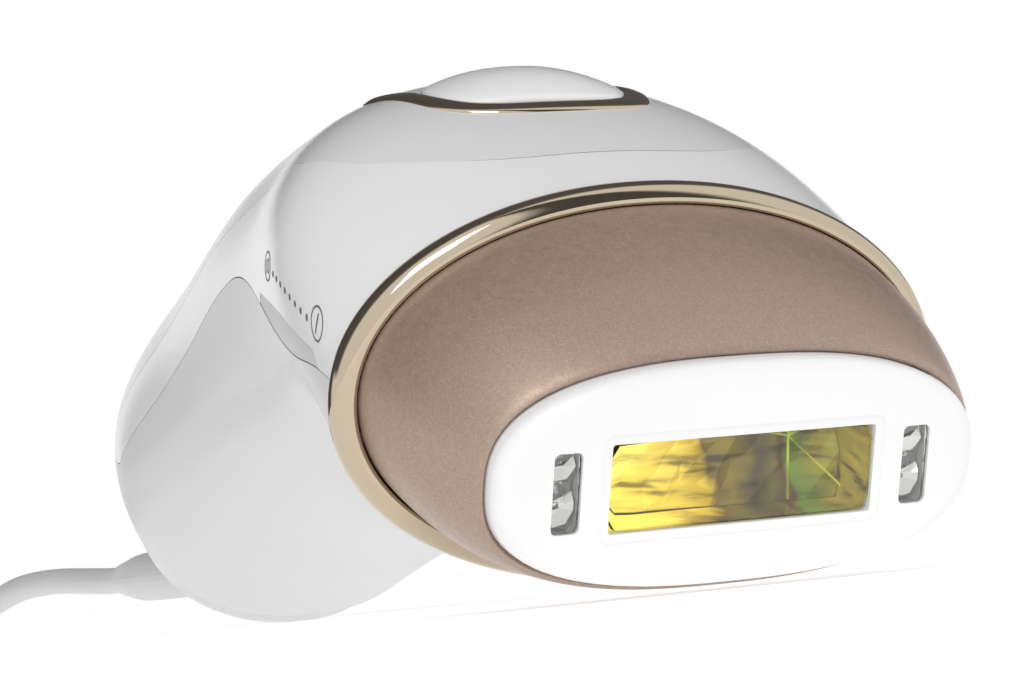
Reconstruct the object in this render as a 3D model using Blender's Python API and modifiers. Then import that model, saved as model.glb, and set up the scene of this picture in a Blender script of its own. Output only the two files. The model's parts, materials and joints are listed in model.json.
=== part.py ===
"""IPL hair remover: handset with a pull-off treatment head, its cord and its plug-in power supply.

The handset is modelled in a head frame and then set down on the floor plane.
Head frame: X across the head, +Y back into the handle, +Z up, zero at the centre of the white skin face.
All driving sizes are in millimetres and become metres in mm().
"""
import math

import bmesh
import bpy
from mathutils import Matrix, Vector

# ---------------------------------------------------------------- driving sizes (millimetres, degrees)
GAP = 0.3
SEAM_GAP = 0.5
SIDES = 52
STANCE_PITCH = 19.4

# Handle sections from the ring to the rear end: Y, Z, tilt, half width, half height.
STATIONS = [
    (28.9, 5.6, -5.0, 41.3, 24.4),
    (51.0, 12.0, -24.0, 39.5, 27.0),
    (70.0, 4.5, -27.0, 34.5, 30.5),
    (96.0, -7.0, -28.0, 29.5, 29.5),
    (119.0, -22.0, -35.0, 26.5, 27.0),
    (139.0, -38.0, -48.0, 25.0, 25.0),
    (144.0, -50.0, -74.0, 19.0, 21.5),
]
END_DOME = 7.0
SHELL = 2.0
BODY_POWER = 2.25

# Seams, as angle from the top of the section against distance along the handle in stations.
GRIP_SEAM = [(0.0, 92.0), (0.5, 95.0), (1.1, 99.0), (1.7, 87.0), (2.4, 76.0), (3.2, 73.0), (4.9, 76.0)]
COVER_SEAM = [(0.0, 62.0), (1.3, 64.0), (2.6, 57.0), (3.9, 61.0), (4.7, 66.0), (5.4, 70.0)]
COVER_FRONT = 0.27
COVER_CORNER = 0.45
FRONT_ROWS = [0.33, 0.22, 0.12, 0.06]
GRIP_BACK = 5.32
ARM_END = 5.0
COVER_END = 5.24
COVER_COLUMNS = 23
COVER_STEP = 0.04
VENT_FROM = 0.36
VENT_TO = 1.52
VENT_TOP = (90.0, 88.5)
VENT_ROWS = 9

# Chrome ring
RING_Y, RING_Z, RING_TILT = 26.4, 5.4, -5.0
RING_W, RING_H, RING_POWER = 42.8, 25.3, 2.05
RING_WIDE = 3.1

# Treatment head
FACE_W, FACE_H, FACE_POWER = 33.2, 13.9, 2.58
FACE_Z = 0.6
FACE_DEEP = 3.7
FACE_ROUND = 1.9
LIP = 0.9
COLLAR_WALL = 1.8
WINDOW_W, WINDOW_H = 36.4, 11.0
WINDOW_DEEP = 1.9
GLASS = 1.2
SENSOR_X, SENSOR_W, SENSOR_H = 24.1, 3.75, 9.9
PULL_OFF = 35.0

# Flash button
BUTTON_S, BUTTON_W, BUTTON_LONG = 1.03, 14.6, 0.34
BUTTON_RISE = 1.4
BUTTON_TRAVEL = 1.2
POWER_S, POWER_W, POWER_LONG = 3.35, 6.5, 0.17
POWER_TRAVEL = 0.8

# Lamp
LAMP_Y, LAMP_R, LAMP_HALF = 38.5, 2.5, 23.0

# Fan
FAN_S, FAN_HALF, FAN_DEEP, FAN_HOLE, BLADE_R, BLADES = 1.98, 19.0, 9.0, 17.6, 16.8, 7

# Cord, in world millimetres on the floor plane; the route is a list chosen by hand.
CORD_D = 4.6
CORD_Z = 9.4
SOCKET_FROM, SOCKET_TO, SOCKET_R = 53.5, 62.0, 5.6
RELIEF_FROM, RELIEF_TO, RELIEF_R = 54.0, 130.0, 4.1
COIL_X, COIL_Y, COIL_LOW, COIL_TALL = -35.0, 262.0, 1.2, 14.0
COIL_OUT, COIL_IN = 36.5, 22.0
ROUTE = [
    (0.0, 130.3, 9.4), (-0.1, 138.0, 9.4), (-0.5, 150.0, 9.9), (-1.4, 164.0, 10.4), (-2.4, 179.0, 9.8),
    (-2.8, 194.0, 7.6), (-2.4, 209.0, 5.2), (-1.6, 226.0, 3.8), (-0.8, 242.6, 3.5),
]
TAIL = [
    (-70.0, 259.0, 17.9), (-70.1, 250.0, 17.8), (-70.1, 240.0, 16.8), (-70.0, 229.0, 15.0),
    (-70.0, 221.5, 14.3), (-70.0, 217.3, 14.2),
]
ADAPTER = (36.0, 60.0, 28.0)
ADAPTER_AT = (-70.0, 175.0, 14.2)
PIN_R, PIN_LONG, PIN_APART = 2.0, 19.0, 19.0


def mm(x, y, z):
    return Vector((x, y, z)) * 0.001


# ---------------------------------------------------------------- scene and materials
for old in list(bpy.data.objects):
    bpy.data.objects.remove(old, do_unlink=True)

parts = bpy.data.collections.new("ipl_hair_remover")
cutters = bpy.data.collections.new("cutters")
bpy.context.scene.collection.children.link(parts)
bpy.context.scene.collection.children.link(cutters)


def material(name, color, roughness, metallic=0.0, alpha=1.0):
    made = bpy.data.materials.new(name)
    made.use_nodes = True
    shader = made.node_tree.nodes["Principled BSDF"]
    shader.inputs["Base Color"].default_value = (*color, 1.0)
    shader.inputs["Roughness"].default_value = roughness
    shader.inputs["Metallic"].default_value = metallic
    shader.inputs["Alpha"].default_value = alpha
    return made


WHITE = material("gloss_white", (0.86, 0.86, 0.86), 0.18)
FACE_WHITE = material("face_white", (0.93, 0.93, 0.93), 0.3)
GREY = material("vent_grey", (0.62, 0.62, 0.63), 0.4)
TAUPE = material("taupe_metallic", (0.27, 0.20, 0.16), 0.38, 0.5)
GOLD = material("champagne_chrome", (0.62, 0.52, 0.38), 0.08, 1.0)
CLEAR = material("window_clear", (0.9, 0.85, 0.5), 0.02, 0.0, 0.35)
FILTER = material("filter_yellow", (0.85, 0.68, 0.05), 0.05, 0.0, 0.5)
QUARTZ = material("lamp_quartz", (0.95, 0.95, 0.97), 0.02, 0.0, 0.4)
MIRROR = material("mirror_aluminium", (0.9, 0.9, 0.9), 0.04, 1.0)
METAL = material("plain_aluminium", (0.72, 0.73, 0.75), 0.35, 1.0)
STEEL = material("screw_steel", (0.5, 0.5, 0.52), 0.3, 1.0)
BLACK = material("black_plastic", (0.03, 0.03, 0.03), 0.45)
BOARD = material("board_green", (0.02, 0.16, 0.07), 0.5)
COPPER = material("copper_winding", (0.6, 0.26, 0.12), 0.35, 1.0)
SLEEVE = material("capacitor_sleeve", (0.03, 0.04, 0.10), 0.4)
CORD = material("cord_grey_white", (0.78, 0.78, 0.78), 0.45)


# ---------------------------------------------------------------- placing
stance = bpy.data.objects.new("stance", None)
parts.objects.link(stance)
stance.rotation_euler = (math.radians(STANCE_PITCH), 0.0, 0.0)


def joint_frame(name, place):
    """An empty on a joint; place is its matrix in the head frame."""
    frame = bpy.data.objects.new(name, None)
    parts.objects.link(frame)
    frame.parent = stance
    frame.matrix_basis = place
    return frame


def make_object(name, bm, look, parent=None, collection=parts):
    """One named object whose mesh is written in the head frame (or in the world when parent is None)."""
    mesh = bpy.data.meshes.new(name)
    bm.to_mesh(mesh)
    bm.free()
    obj = bpy.data.objects.new(name, mesh)
    collection.objects.link(obj)
    if look is not None:
        mesh.materials.append(look)
    if parent is not None:
        obj.parent = parent
        if parent is not stance:
            obj.matrix_parent_inverse = parent.matrix_basis.inverted()
    return obj


def cut(obj, cutter, operation="DIFFERENCE"):
    modifier = obj.modifiers.new("cut_" + cutter.name, "BOOLEAN")
    modifier.operation = operation
    modifier.object = cutter
    modifier.solver = "EXACT"
    cutter.hide_render = True
    cutter.display_type = "WIRE"


def turned_axis(point, direction):
    """A matrix whose origin is point and whose Z runs along direction."""
    turn = Vector(direction).normalized().to_track_quat("Z", "Y").to_matrix().to_4x4()
    return Matrix.Translation(point) @ turn


# ---------------------------------------------------------------- basic shapes
def box(name, centre, size, look, parent=None, place=Matrix(), collection=parts):
    bm = bmesh.new()
    scale = Matrix.Diagonal((*mm(*size), 1.0))
    bmesh.ops.create_cube(bm, size=1.0, matrix=place @ Matrix.Translation(mm(*centre)) @ scale)
    return make_object(name, bm, look, parent or stance, collection)


def soften(obj, width, segments=2):
    bevel = obj.modifiers.new("soft_edges", "BEVEL")
    bevel.width = width * 0.001
    bevel.segments = segments
    bevel.limit_method = "ANGLE"
    bevel.angle_limit = math.radians(40)
    return obj


def turned(name, profile, place, look, parent, closed=False, steps=24):
    """A turned piece: profile is (radius, height) down its outer side, in millimetres."""
    bm = bmesh.new()
    verts = [bm.verts.new(mm(radius, 0, height)) for radius, height in profile]
    for first, second in zip(verts, verts[1:]):
        bm.edges.new((first, second))
    if closed:
        bm.edges.new((verts[-1], verts[0]))
    obj = make_object(name, bm, look)
    obj.parent = parent
    if parent is not None and parent is not stance:
        obj.matrix_parent_inverse = parent.matrix_basis.inverted()
    obj.matrix_basis = place
    screw = obj.modifiers.new("turn", "SCREW")
    screw.axis = "Z"
    screw.steps = steps
    screw.render_steps = steps
    screw.use_merge_vertices = True
    screw.merge_threshold = 0.00001
    return obj


def plate(name, outlines, thick, place, look, parent):
    """A flat plate from closed outlines in millimetres (the first is the edge, the others are holes)."""
    curve = bpy.data.curves.new(name, "CURVE")
    curve.dimensions = "2D"
    curve.fill_mode = "BOTH"
    curve.extrude = thick * 0.0005
    for outline in outlines:
        spline = curve.splines.new("POLY")
        spline.points.add(len(outline) - 1)
        for point, (x, y) in zip(spline.points, outline):
            point.co = (x * 0.001, y * 0.001, 0.0, 1.0)
        spline.use_cyclic_u = True
    drawn = bpy.data.objects.new(name + "_outline", curve)
    parts.objects.link(drawn)
    drawn.matrix_basis = place
    bpy.context.view_layer.update()
    shape = bpy.data.meshes.new_from_object(drawn.evaluated_get(bpy.context.evaluated_depsgraph_get()))
    bm = bmesh.new()
    bm.from_mesh(shape)
    bm.transform(drawn.matrix_world)
    bmesh.ops.remove_doubles(bm, verts=bm.verts, dist=0.000001)
    bpy.data.objects.remove(drawn, do_unlink=True)
    return make_object(name, bm, look, parent)


def circle(radius, x=0.0, y=0.0, count=24):
    angles = [2 * math.pi * i / count for i in range(count)]
    return [(x + radius * math.cos(a), y + radius * math.sin(a)) for a in angles]


def rectangle(width, height, x=0.0, y=0.0):
    return [(x + i * width / 2, y + j * height / 2) for i, j in ((-1, -1), (1, -1), (1, 1), (-1, 1))]


def superellipse(half_w, half_h, power, count=SIDES):
    """Closed outline as (x, up) pairs from the top, turning towards -X."""
    outline = []
    for i in range(count):
        angle = 2 * math.pi * i / count
        across, up = math.sin(angle), math.cos(angle)
        reach = (abs(up / half_h) ** power + abs(across / half_w) ** power) ** (-1 / power)
        outline.append((-reach * across, reach * up))
    return outline


def skin(loops, first_cap=False, last_cap=False, closed_run=False):
    """Faces between equal closed loops of points; the loops run so that the outside faces out."""
    bm = bmesh.new()
    rings = [[bm.verts.new(point) for point in loop] for loop in loops]
    pairs = list(zip(rings, rings[1:]))
    if closed_run:
        pairs.append((rings[-1], rings[0]))
    for near, far in pairs:
        for i in range(len(near)):
            j = (i + 1) % len(near)
            bm.faces.new((near[i], near[j], far[j], far[i]))
    if first_cap:
        bm.faces.new(rings[0][::-1])
    if last_cap:
        bm.faces.new(rings[-1])
    bmesh.ops.recalc_face_normals(bm, faces=bm.faces)
    return bm


def loop_at(y, z, tilt, half_w, half_h, power):
    """An oval loop in the head frame, millimetres, leaning by tilt degrees about X."""
    lean = math.radians(tilt)
    points = []
    for x, up in superellipse(half_w, half_h, power):
        points.append(mm(x, y - up * math.sin(lean), z + up * math.cos(lean)))
    return points


def ring_loop(inset, back, half_w=RING_W, half_h=RING_H, power=RING_POWER):
    """A loop parallel to the chrome ring: inset from its outer edge, back along its axis."""
    lean = math.radians(RING_TILT)
    y = RING_Y + back * math.cos(lean)
    z = RING_Z + back * math.sin(lean)
    return loop_at(y, z, RING_TILT, half_w - inset, half_h - inset, power)


def ring_place(back):
    """The plane of a plate parallel to the chrome ring, for plate(): X across, Y up, Z to the front."""
    lean = math.radians(RING_TILT)
    centre = mm(0, RING_Y + back * math.cos(lean), RING_Z + back * math.sin(lean))
    return Matrix.Translation(centre) @ Matrix.Rotation(math.radians(90) + lean, 4, "X")


# ---------------------------------------------------------------- handle surface
def smooth_row(rows, at):
    """A Catmull-Rom curve through rows of numbers, one row a unit apart."""
    last = len(rows) - 1
    at = min(max(at, 0.0), last - 1e-9)
    i = int(at)
    f = at - i
    p1, p2 = rows[i], rows[i + 1]
    p0 = rows[i - 1] if i > 0 else [2 * a - b for a, b in zip(p1, p2)]
    p3 = rows[i + 2] if i + 2 <= last else [2 * b - a for a, b in zip(p1, p2)]
    out = []
    for a, b, c, d in zip(p0, p1, p2, p3):
        square = (2 * a - 5 * b + 4 * c - d) * f * f
        cube = (3 * b - a - 3 * c + d) * f ** 3
        out.append(0.5 * (2 * b + (c - a) * f + square + cube))
    return out


def seam_angle(table, at):
    """A seam's angle in degrees, eased between the places in its table."""
    if at <= table[0][0]:
        return table[0][1]
    for (low, first), (high, second) in zip(table, table[1:]):
        if at <= high:
            f = (at - low) / (high - low)
            return first + (second - first) * f * f * (3 - 2 * f)
    return table[-1][1]


def section_point(at, across, up_share, lift=0.0):
    """A point from a section's own half sizes: across and up_share run from -1 to 1."""
    y, z, tilt, half_w, half_h = smooth_row(STATIONS, at)
    lean = math.radians(tilt)
    up = up_share * half_h + lift
    return mm(-across * half_w, y - up * math.sin(lean), z + up * math.cos(lean))


def body_point(at, degrees):
    """A point of the handle's outer surface: at counts stations, degrees turn from the top to -X."""
    y, z, tilt, half_w, half_h = smooth_row(STATIONS, at)
    lean = math.radians(tilt)
    across, up = math.sin(math.radians(degrees)), math.cos(math.radians(degrees))
    reach = (abs(up / half_h) ** BODY_POWER + abs(across / half_w) ** BODY_POWER) ** (-1 / BODY_POWER)
    return mm(-reach * across, y - reach * up * math.sin(lean), z + reach * up * math.cos(lean))


def top_point(x, at, lift=0.0):
    """A point of the upper surface above a lateral place x, lifted along the surface normal."""

    def flat(side, along):
        half_w = smooth_row(STATIONS, along)[3]
        share = (1 - abs(side / half_w) ** BODY_POWER) ** (1 / BODY_POWER)
        return section_point(along, -side / half_w, share)

    step = 0.02
    along_s = flat(x, at + step) - flat(x, at - step)
    along_x = flat(x + step, at) - flat(x - step, at)
    normal = along_x.cross(along_s).normalized()
    return flat(x, at) + normal * lift * 0.001


def end_dome_point(turn, degrees):
    """A point of the rounded rear end: turn runs from 0 at the last station to 90 at its middle."""
    y, z, tilt, half_w, half_h = STATIONS[-1]
    lean = math.radians(tilt)
    shrink = max(math.cos(math.radians(turn)), 0.0)
    back = END_DOME * math.sin(math.radians(turn))
    across, up = math.sin(math.radians(degrees)), math.cos(math.radians(degrees))
    reach = (abs(up / half_h) ** BODY_POWER + abs(across / half_w) ** BODY_POWER) ** (-1 / BODY_POWER)
    reach *= shrink
    y = y + back * math.cos(lean) - reach * up * math.sin(lean)
    z = z + back * math.sin(lean) + reach * up * math.cos(lean)
    return mm(-reach * across, y, z)


def spine_place(at, x=0.0, up=0.0, along=0.0):
    """A frame on the handle's middle line: X across, Y back along the handle, Z to its top."""
    y, z, tilt, _, _ = smooth_row(STATIONS, at)
    turn = Matrix.Rotation(math.radians(tilt), 4, "X")
    return Matrix.Translation(mm(0, y, z)) @ turn @ Matrix.Translation(mm(x, along, up))


def grip_angle(at):
    """Where the grip shell's upper edge lies; it climbs over the handle's back near the end."""
    angle = seam_angle(GRIP_SEAM, at)
    turn_from = 4.9
    if at > turn_from:
        share = min((at - turn_from) / (GRIP_BACK - turn_from), 1.0)
        angle *= math.sqrt(max(1.0 - share * share, 0.0))
    return angle


def gap_angle(at):
    """The angle that a parting gap takes at a section, in degrees."""
    return math.degrees(SEAM_GAP / 2 / smooth_row(STATIONS, at)[3])


def spread(first, last, count):
    return [first + (last - first) * i / (count - 1) for i in range(count)]


def shell_patch(name, rows, look, outward_from, thick=SHELL):
    """A shell from an open grid of surface points, thickened inwards."""
    bm = bmesh.new()
    grid = [[bm.verts.new(point) for point in row] for row in rows]
    for near, far in zip(grid, grid[1:]):
        for i in range(len(near) - 1):
            bm.faces.new((near[i], near[i + 1], far[i + 1], far[i]))
    bmesh.ops.remove_doubles(bm, verts=bm.verts, dist=0.000005)
    bmesh.ops.recalc_face_normals(bm, faces=bm.faces)
    outward = sum((f.calc_center_median() - outward_from).dot(f.normal) * f.calc_area() for f in bm.faces)
    if outward < 0:
        bmesh.ops.reverse_faces(bm, faces=bm.faces)
    obj = make_object(name, bm, look, stance)
    wall = obj.modifiers.new("wall", "SOLIDIFY")
    wall.thickness = thick * 0.001
    wall.offset = -1.0
    return obj


MIDDLE = mm(0, 85, -5)


# ---------------------------------------------------------------- outer shells
def build_grip_shell():
    rows = []
    for at in FRONT_ROWS[::-1] + spread(0.45, 4.9, 19) + spread(4.98, GRIP_BACK, 6) + spread(5.5, 6.0, 4):
        low = min(grip_angle(at) + gap_angle(at), 359.0) if at < GRIP_BACK - 0.001 else 0.0
        rows.append([body_point(at, degrees) for degrees in spread(low, 360.0 - low, 31)])
    for turn in (30, 55, 75, 90):
        rows.append([end_dome_point(turn, degrees) for degrees in spread(0.0, 360.0, 31)])
    return shell_patch("grip_shell", rows, WHITE, MIDDLE)


def front_shell_lower(at):
    """The front shell's lower edge: the vent inserts take the place beside their stretch."""
    if VENT_FROM - 0.01 <= at <= VENT_TO:
        share = (at - VENT_FROM) / (VENT_TO - VENT_FROM)
        edge = VENT_TOP[0] + (VENT_TOP[1] - VENT_TOP[0]) * share
        return min(edge, grip_angle(at)) - gap_angle(at)
    return grip_angle(at) - gap_angle(at)


def cover_angle(at):
    return min(seam_angle(COVER_SEAM, at), grip_angle(at) - gap_angle(at))


def build_front_shell():
    """One piece: a band across the front, and an arm along each side of the spine cover."""
    arm = spread(ARM_END, VENT_TO + 0.02, 21) + spread(VENT_TO - 0.02, VENT_FROM, VENT_ROWS)
    arm += FRONT_ROWS + [0.0]
    inner, outer = [], []
    corner = COVER_FRONT + COVER_CORNER
    for at in arm:
        outer.append((at, front_shell_lower(at)))
    sweep = spread(1.0, -1.0, COVER_COLUMNS)
    front_edge = [(COVER_FRONT + COVER_CORNER * abs(p) ** 5 - COVER_STEP, 62.0 * p) for p in sweep]
    arms_inner = [(at, seam_angle(COVER_SEAM, at) + gap_angle(at)) for at in arm if at > corner + 0.05]
    bridge = len(arm) - len(arms_inner)
    inner = arms_inner + [(corner - COVER_STEP, 62.0 + 3 * gap_angle(corner))] * bridge
    left = list(zip(inner, outer))
    front = [(edge, (0.0, grip_angle(0.0) * p - gap_angle(0.0) * p)) for edge, p in zip(front_edge, sweep)]
    right = [((a, -b), (c, -d)) for (a, b), (c, d) in reversed(left)]
    rows = []
    for (s_in, v_in), (s_out, v_out) in left + front[1:-1] + right:
        ends = [(s_in, v_in), (s_out, v_out)]
        if 0.0 < s_out < VENT_FROM - 0.01:
            knee = VENT_TOP[0] - gap_angle(s_out)
            ends.insert(1, (s_out, math.copysign(knee, v_out)))
        row = []
        for place in spread(0.0, len(ends) - 1.0, 7):
            i = min(int(place), len(ends) - 2)
            row.append(body_point(*(a + (b - a) * (place - i) for a, b in zip(ends[i], ends[i + 1]))))
        rows.append(row)
    return shell_patch("front_shell", rows, WHITE, MIDDLE)


def build_spine_cover():
    rows = []
    for q in spread(0.0, 1.0, 27):
        row = []
        for p in spread(-1.0, 1.0, COVER_COLUMNS):
            first = COVER_FRONT + COVER_CORNER * abs(p) ** 5
            at = first + (COVER_END - first) * q
            row.append(body_point(at, p * (cover_angle(at) - gap_angle(at))))
        rows.append(row)
    return shell_patch("spine_cover", rows, WHITE, MIDDLE)


def build_vent_insert(side, name):
    rows = []
    for at in [VENT_TO - 0.04] + spread(VENT_TO - 0.02, VENT_FROM, VENT_ROWS)[1:-1] + [VENT_FROM + 0.13]:
        share = (at - VENT_FROM) / (VENT_TO - VENT_FROM)
        high = VENT_TOP[0] + (VENT_TOP[1] - VENT_TOP[0]) * share + 2 * gap_angle(at)
        low = grip_angle(at) - gap_angle(at)
        rows.append([body_point(at, side * degrees) for degrees in spread(high, low, 5)])
    return shell_patch(name, rows, GREY, MIDDLE, 1.6)


# ---------------------------------------------------------------- buttons on the spine cover
def pad_outline(half_w, half_long, middle, count=36, power=2.6):
    outline = []
    for i in range(count):
        angle = 2 * math.pi * i / count
        x, s = math.cos(angle), math.sin(angle)
        reach = (abs(x) ** power + abs(s) ** power) ** (-1 / power)
        outline.append((half_w * reach * x, half_long * reach * s))
    return [(x, middle, s) for x, s in outline]


def pad_loops(half_w, half_long, middle, shares):
    """Loops over a pad on the upper surface, one for each (share of its outline, lift in mm)."""
    loops = []
    for share, lift in shares:
        loop = []
        for x, mid, s in pad_outline(half_w, half_long, middle):
            loop.append(top_point(share * x, mid + share * s, lift))
        loops.append(loop)
    return loops


def build_pad(name, half_w, half_long, middle, rise, depth, parent):
    shares = [(0.15, -depth), (0.6, -depth), (1.0, -depth), (1.0, 0.0)]
    shares += [(share, rise * (1 - share ** 3)) for share in (0.96, 0.85, 0.6, 0.3, 0.1)]
    loops = pad_loops(half_w, half_long, middle, shares)
    return make_object(name, skin(loops, True, True), WHITE, parent)


def pad_cutter(name, half_w, half_long, middle, clear):
    shares = [(1.0, -8.0), (1.0, 8.0)]
    grow = clear / 26.0
    loops = pad_loops(half_w + clear, half_long + grow, middle, shares)
    return make_object(name, skin(loops, True, True), None, stance, cutters)


TRIM_PATH = [
    (0.0, 0.61, 1.5), (8.0, 0.62, 1.5), (13.6, 0.70, 1.4), (17.0, 0.86, 1.1), (19.0, 1.03, 0.7),
    (21.0, 1.22, 0.25),
]


def build_button_trim():
    """A horseshoe strip round the button's front; its two tails run back and thin out."""
    half = [smooth_row(TRIM_PATH, t) for t in spread(0.0, len(TRIM_PATH) - 1, 18)]
    path = [(-x, s, w) for x, s, w in reversed(half[1:])] + half
    scale = 26.0
    loops = []
    for i, (x, s, width) in enumerate(path):
        before, after = path[max(i - 1, 0)], path[min(i + 1, len(path) - 1)]
        run = Vector((after[0] - before[0], (after[1] - before[1]) * scale)).normalized()
        side = Vector((-run.y, run.x))
        corners = []
        for out, lift in ((-1.0, 0.3), (-0.7, 0.9), (0.7, 0.9), (1.0, 0.3)):
            place = side * width * out
            corners.append(top_point(x + place.x, s + place.y / scale, lift))
        loops.append(corners)
    return make_object("button_trim", skin(loops, True, True), GOLD, stance)


def surface_axis(middle):
    """The outward normal of the spine cover above the middle line."""
    return (top_point(0.0, middle, 1.0) - top_point(0.0, middle, 0.0)).normalized()


# ---------------------------------------------------------------- treatment head
def build_trim_ring():
    profile = [(0.0, 0.6), (0.25, -0.7), (0.9, -1.6), (1.9, -2.0), (2.8, -1.9)]
    profile += [(RING_WIDE, -1.2), (RING_WIDE, 1.6), (0.4, 1.6)]
    loops = [ring_loop(a, b) for a, b in profile]
    return make_object("trim_ring", skin(loops, closed_run=True), GOLD, stance)


def collar_loop(share, inset=0.0):
    """The collar's outer surface from its lip at the face (0) to its rear edge at the ring (1)."""
    rear_y, rear_z = RING_Y - 2.0 - GAP, RING_Z + 0.2
    front_y, front_z = 3.4, FACE_Z
    ease = share ** 0.9
    swell = 0.7 * math.sin(math.pi * share) ** 0.9
    y = front_y + (rear_y - front_y) * share
    z = front_z + (rear_z - front_z) * ease
    half_w = FACE_W + LIP + (RING_W - RING_WIDE - 0.1 - FACE_W - LIP) * ease + swell
    half_h = FACE_H + LIP + (RING_H - RING_WIDE - 0.1 - FACE_H - LIP) * ease + swell
    power = FACE_POWER + (RING_POWER - FACE_POWER) * share
    return loop_at(y, z, RING_TILT * share, half_w - inset, half_h - inset, power)


def build_collar(parent):
    loops = [collar_loop(share) for share in spread(0.0, 1.0, 10)]
    inner = [collar_loop(share, COLLAR_WALL) for share in reversed(spread(0.0, 1.0, 7))]
    inner[-1] = [p.copy() for p in collar_loop(0.0, LIP - GAP)]
    return make_object("head_collar", skin(loops + inner, closed_run=True), TAUPE, parent)


def build_head_face(parent, window_cut, pocket_cut, sensor_cuts):
    rounding = []
    for turn in (90, 65, 40, 15, 0):
        angle = math.radians(turn)
        rounding.append((FACE_ROUND * (1 - math.cos(angle)), FACE_ROUND * (1 - math.sin(angle))))
    loops = [loop_at(y, FACE_Z, 0.0, FACE_W - inset, FACE_H - inset, FACE_POWER) for inset, y in rounding]
    loops.append(loop_at(FACE_DEEP, FACE_Z, 0.0, FACE_W, FACE_H, FACE_POWER))
    face = make_object("head_face", skin(loops, True, True), FACE_WHITE, parent)
    for cutter in [window_cut, pocket_cut] + sensor_cuts:
        cut(face, cutter)
    return face


def build_treatment_head():
    parent = joint_frame("head_pull_off", Matrix.Translation(mm(0, RING_Y, RING_Z)))
    window_cut = box("window_cut", (0, 1.0, 0), (WINDOW_W, 12, WINDOW_H), None, collection=cutters)
    pocket = (WINDOW_W + 2.0, 6.0, WINDOW_H + 2.0)
    pocket_cut = box("pocket_cut", (0, WINDOW_DEEP + 3.0, 0), pocket, None, collection=cutters)
    sensor_cuts = []
    for side, word in ((-1, "left"), (1, "right")):
        size = (SENSOR_W + 2 * GAP, 12.0, SENSOR_H + 2 * GAP)
        cutter = box("sensor_cut_" + word, (side * SENSOR_X, 1.0, 0), size, None, collection=cutters)
        sensor_cuts.append(cutter)
        clear = (side * SENSOR_X, 1.35, 0)
        box("sensor_window_" + word, clear, (SENSOR_W, 2.4, SENSOR_H), CLEAR, parent)
        box("sensor_chip_" + word, (side * SENSOR_X, 5.4, 0), (5.6, 3.0, 11.0), METAL, parent)
    build_head_face(parent, window_cut, pocket_cut, sensor_cuts)
    build_collar(parent)
    glass = (WINDOW_W + 1.2, GLASS, WINDOW_H + 1.2)
    box("window_glass", (0, WINDOW_DEEP + GAP + GLASS / 2, 0), glass, CLEAR, parent)
    channel = Matrix.Translation(mm(0, 13.1, 0)) @ Matrix.Rotation(math.radians(90), 4, "X")
    outer = rectangle(WINDOW_W + 1.4, WINDOW_H + 1.4)
    inner = rectangle(WINDOW_W - 0.2, WINDOW_H - 0.2)
    plate("light_channel", [outer, inner], 18.6, channel, MIRROR, parent)
    edge = superellipse(RING_W - RING_WIDE - 3.2, RING_H - RING_WIDE - 3.2, RING_POWER)
    hole = rectangle(WINDOW_W + 3.0, WINDOW_H + 3.0, 0.0, -RING_Z)
    plate("head_rear_frame", [edge, hole], 1.4, ring_place(-3.1), BLACK, parent)
    return parent


# ---------------------------------------------------------------- lamp unit
def build_lamp_unit():
    edge = superellipse(RING_W - RING_WIDE - GAP, RING_H - RING_WIDE - GAP, RING_POWER)
    opening = rectangle(WINDOW_W + 2.0, WINDOW_H + 1.6, 0.0, -RING_Z)
    screw_spots = [(-31.0, 8.0), (31.0, 8.0), (-31.0, -9.0), (31.0, -9.0)]
    holes = [circle(1.4, x, y, 12) for x, y in screw_spots]
    front = ring_place(0.9)
    plate("nose_plate", [edge, opening] + holes, 1.8, front, WHITE, stance)
    for index, (x, y) in enumerate(screw_spots):
        spot = front @ Matrix.Translation(mm(x, y, 1.2))
        turned(f"nose_screw_{index + 1}", screw_profile(2.2, 1.1, 7.0), spot, STEEL, stance, steps=16)
    box("filter_glass", (0, 29.9, 0), (40.0, 2.5, 14.0), FILTER)
    bowl = []
    for up in spread(-6.4, 6.4, 13):
        bowl.append((LAMP_Y + 4.6 - 11.0 * (up / 6.4) ** 2, up))
    wall = [(y + 0.6, up * 1.09) for y, up in bowl]
    profile = bowl + wall[::-1]
    lying = Matrix(((0, 0, 1, 0), (1, 0, 0, 0), (0, 1, 0, 0), (0, 0, 0, 1)))
    plate("reflector", [profile], 40.0, lying, MIRROR, stance)
    sideways = Matrix.Translation(mm(0, LAMP_Y, 0)) @ Matrix.Rotation(math.radians(90), 4, "Y")
    tube = [(0, LAMP_HALF), (LAMP_R, LAMP_HALF), (LAMP_R, -LAMP_HALF), (0, -LAMP_HALF)]
    turned("flash_lamp", tube, sideways, QUARTZ, stance)
    for side, word in ((-1, "left"), (1, "right")):
        out = Matrix.Translation(mm(side * (LAMP_HALF + GAP), LAMP_Y, 0))
        out = out @ Matrix.Rotation(math.radians(90 * side), 4, "Y")
        tip = [(0, 6.5), (1.0, 6.5), (1.0, 3.5), (2.3, 3.5), (2.3, 0), (0, 0)]
        turned("lamp_electrode_" + word, tip, out, STEEL, stance, steps=20)
        holder = [(5.0, 3.2), (5.0, -2.6), (2.9, -2.6), (2.9, 3.2)]
        turned("lamp_holder_" + word, holder, out, BLACK, stance, closed=True, steps=20)
    comb = [(-20, 0), (20, 0)]
    for fin in range(5, -1, -1):
        x = -20 + fin * 7.6
        comb += [(x + 2.0, 6.5), (x, 6.5)]
        if fin:
            comb += [(x, 2.2), (x - 5.6, 2.2)]
    flat = Matrix.Translation(mm(0, 45.5, 1.0))
    plate("heat_sink", [comb], 15.0, flat, METAL, stance)


def screw_profile(head_r, head_tall, long):
    shank_r = head_r * 0.5
    return [(0, head_tall), (head_r, head_tall), (head_r, 0), (shank_r, 0), (shank_r, -long), (0, -long)]


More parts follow.
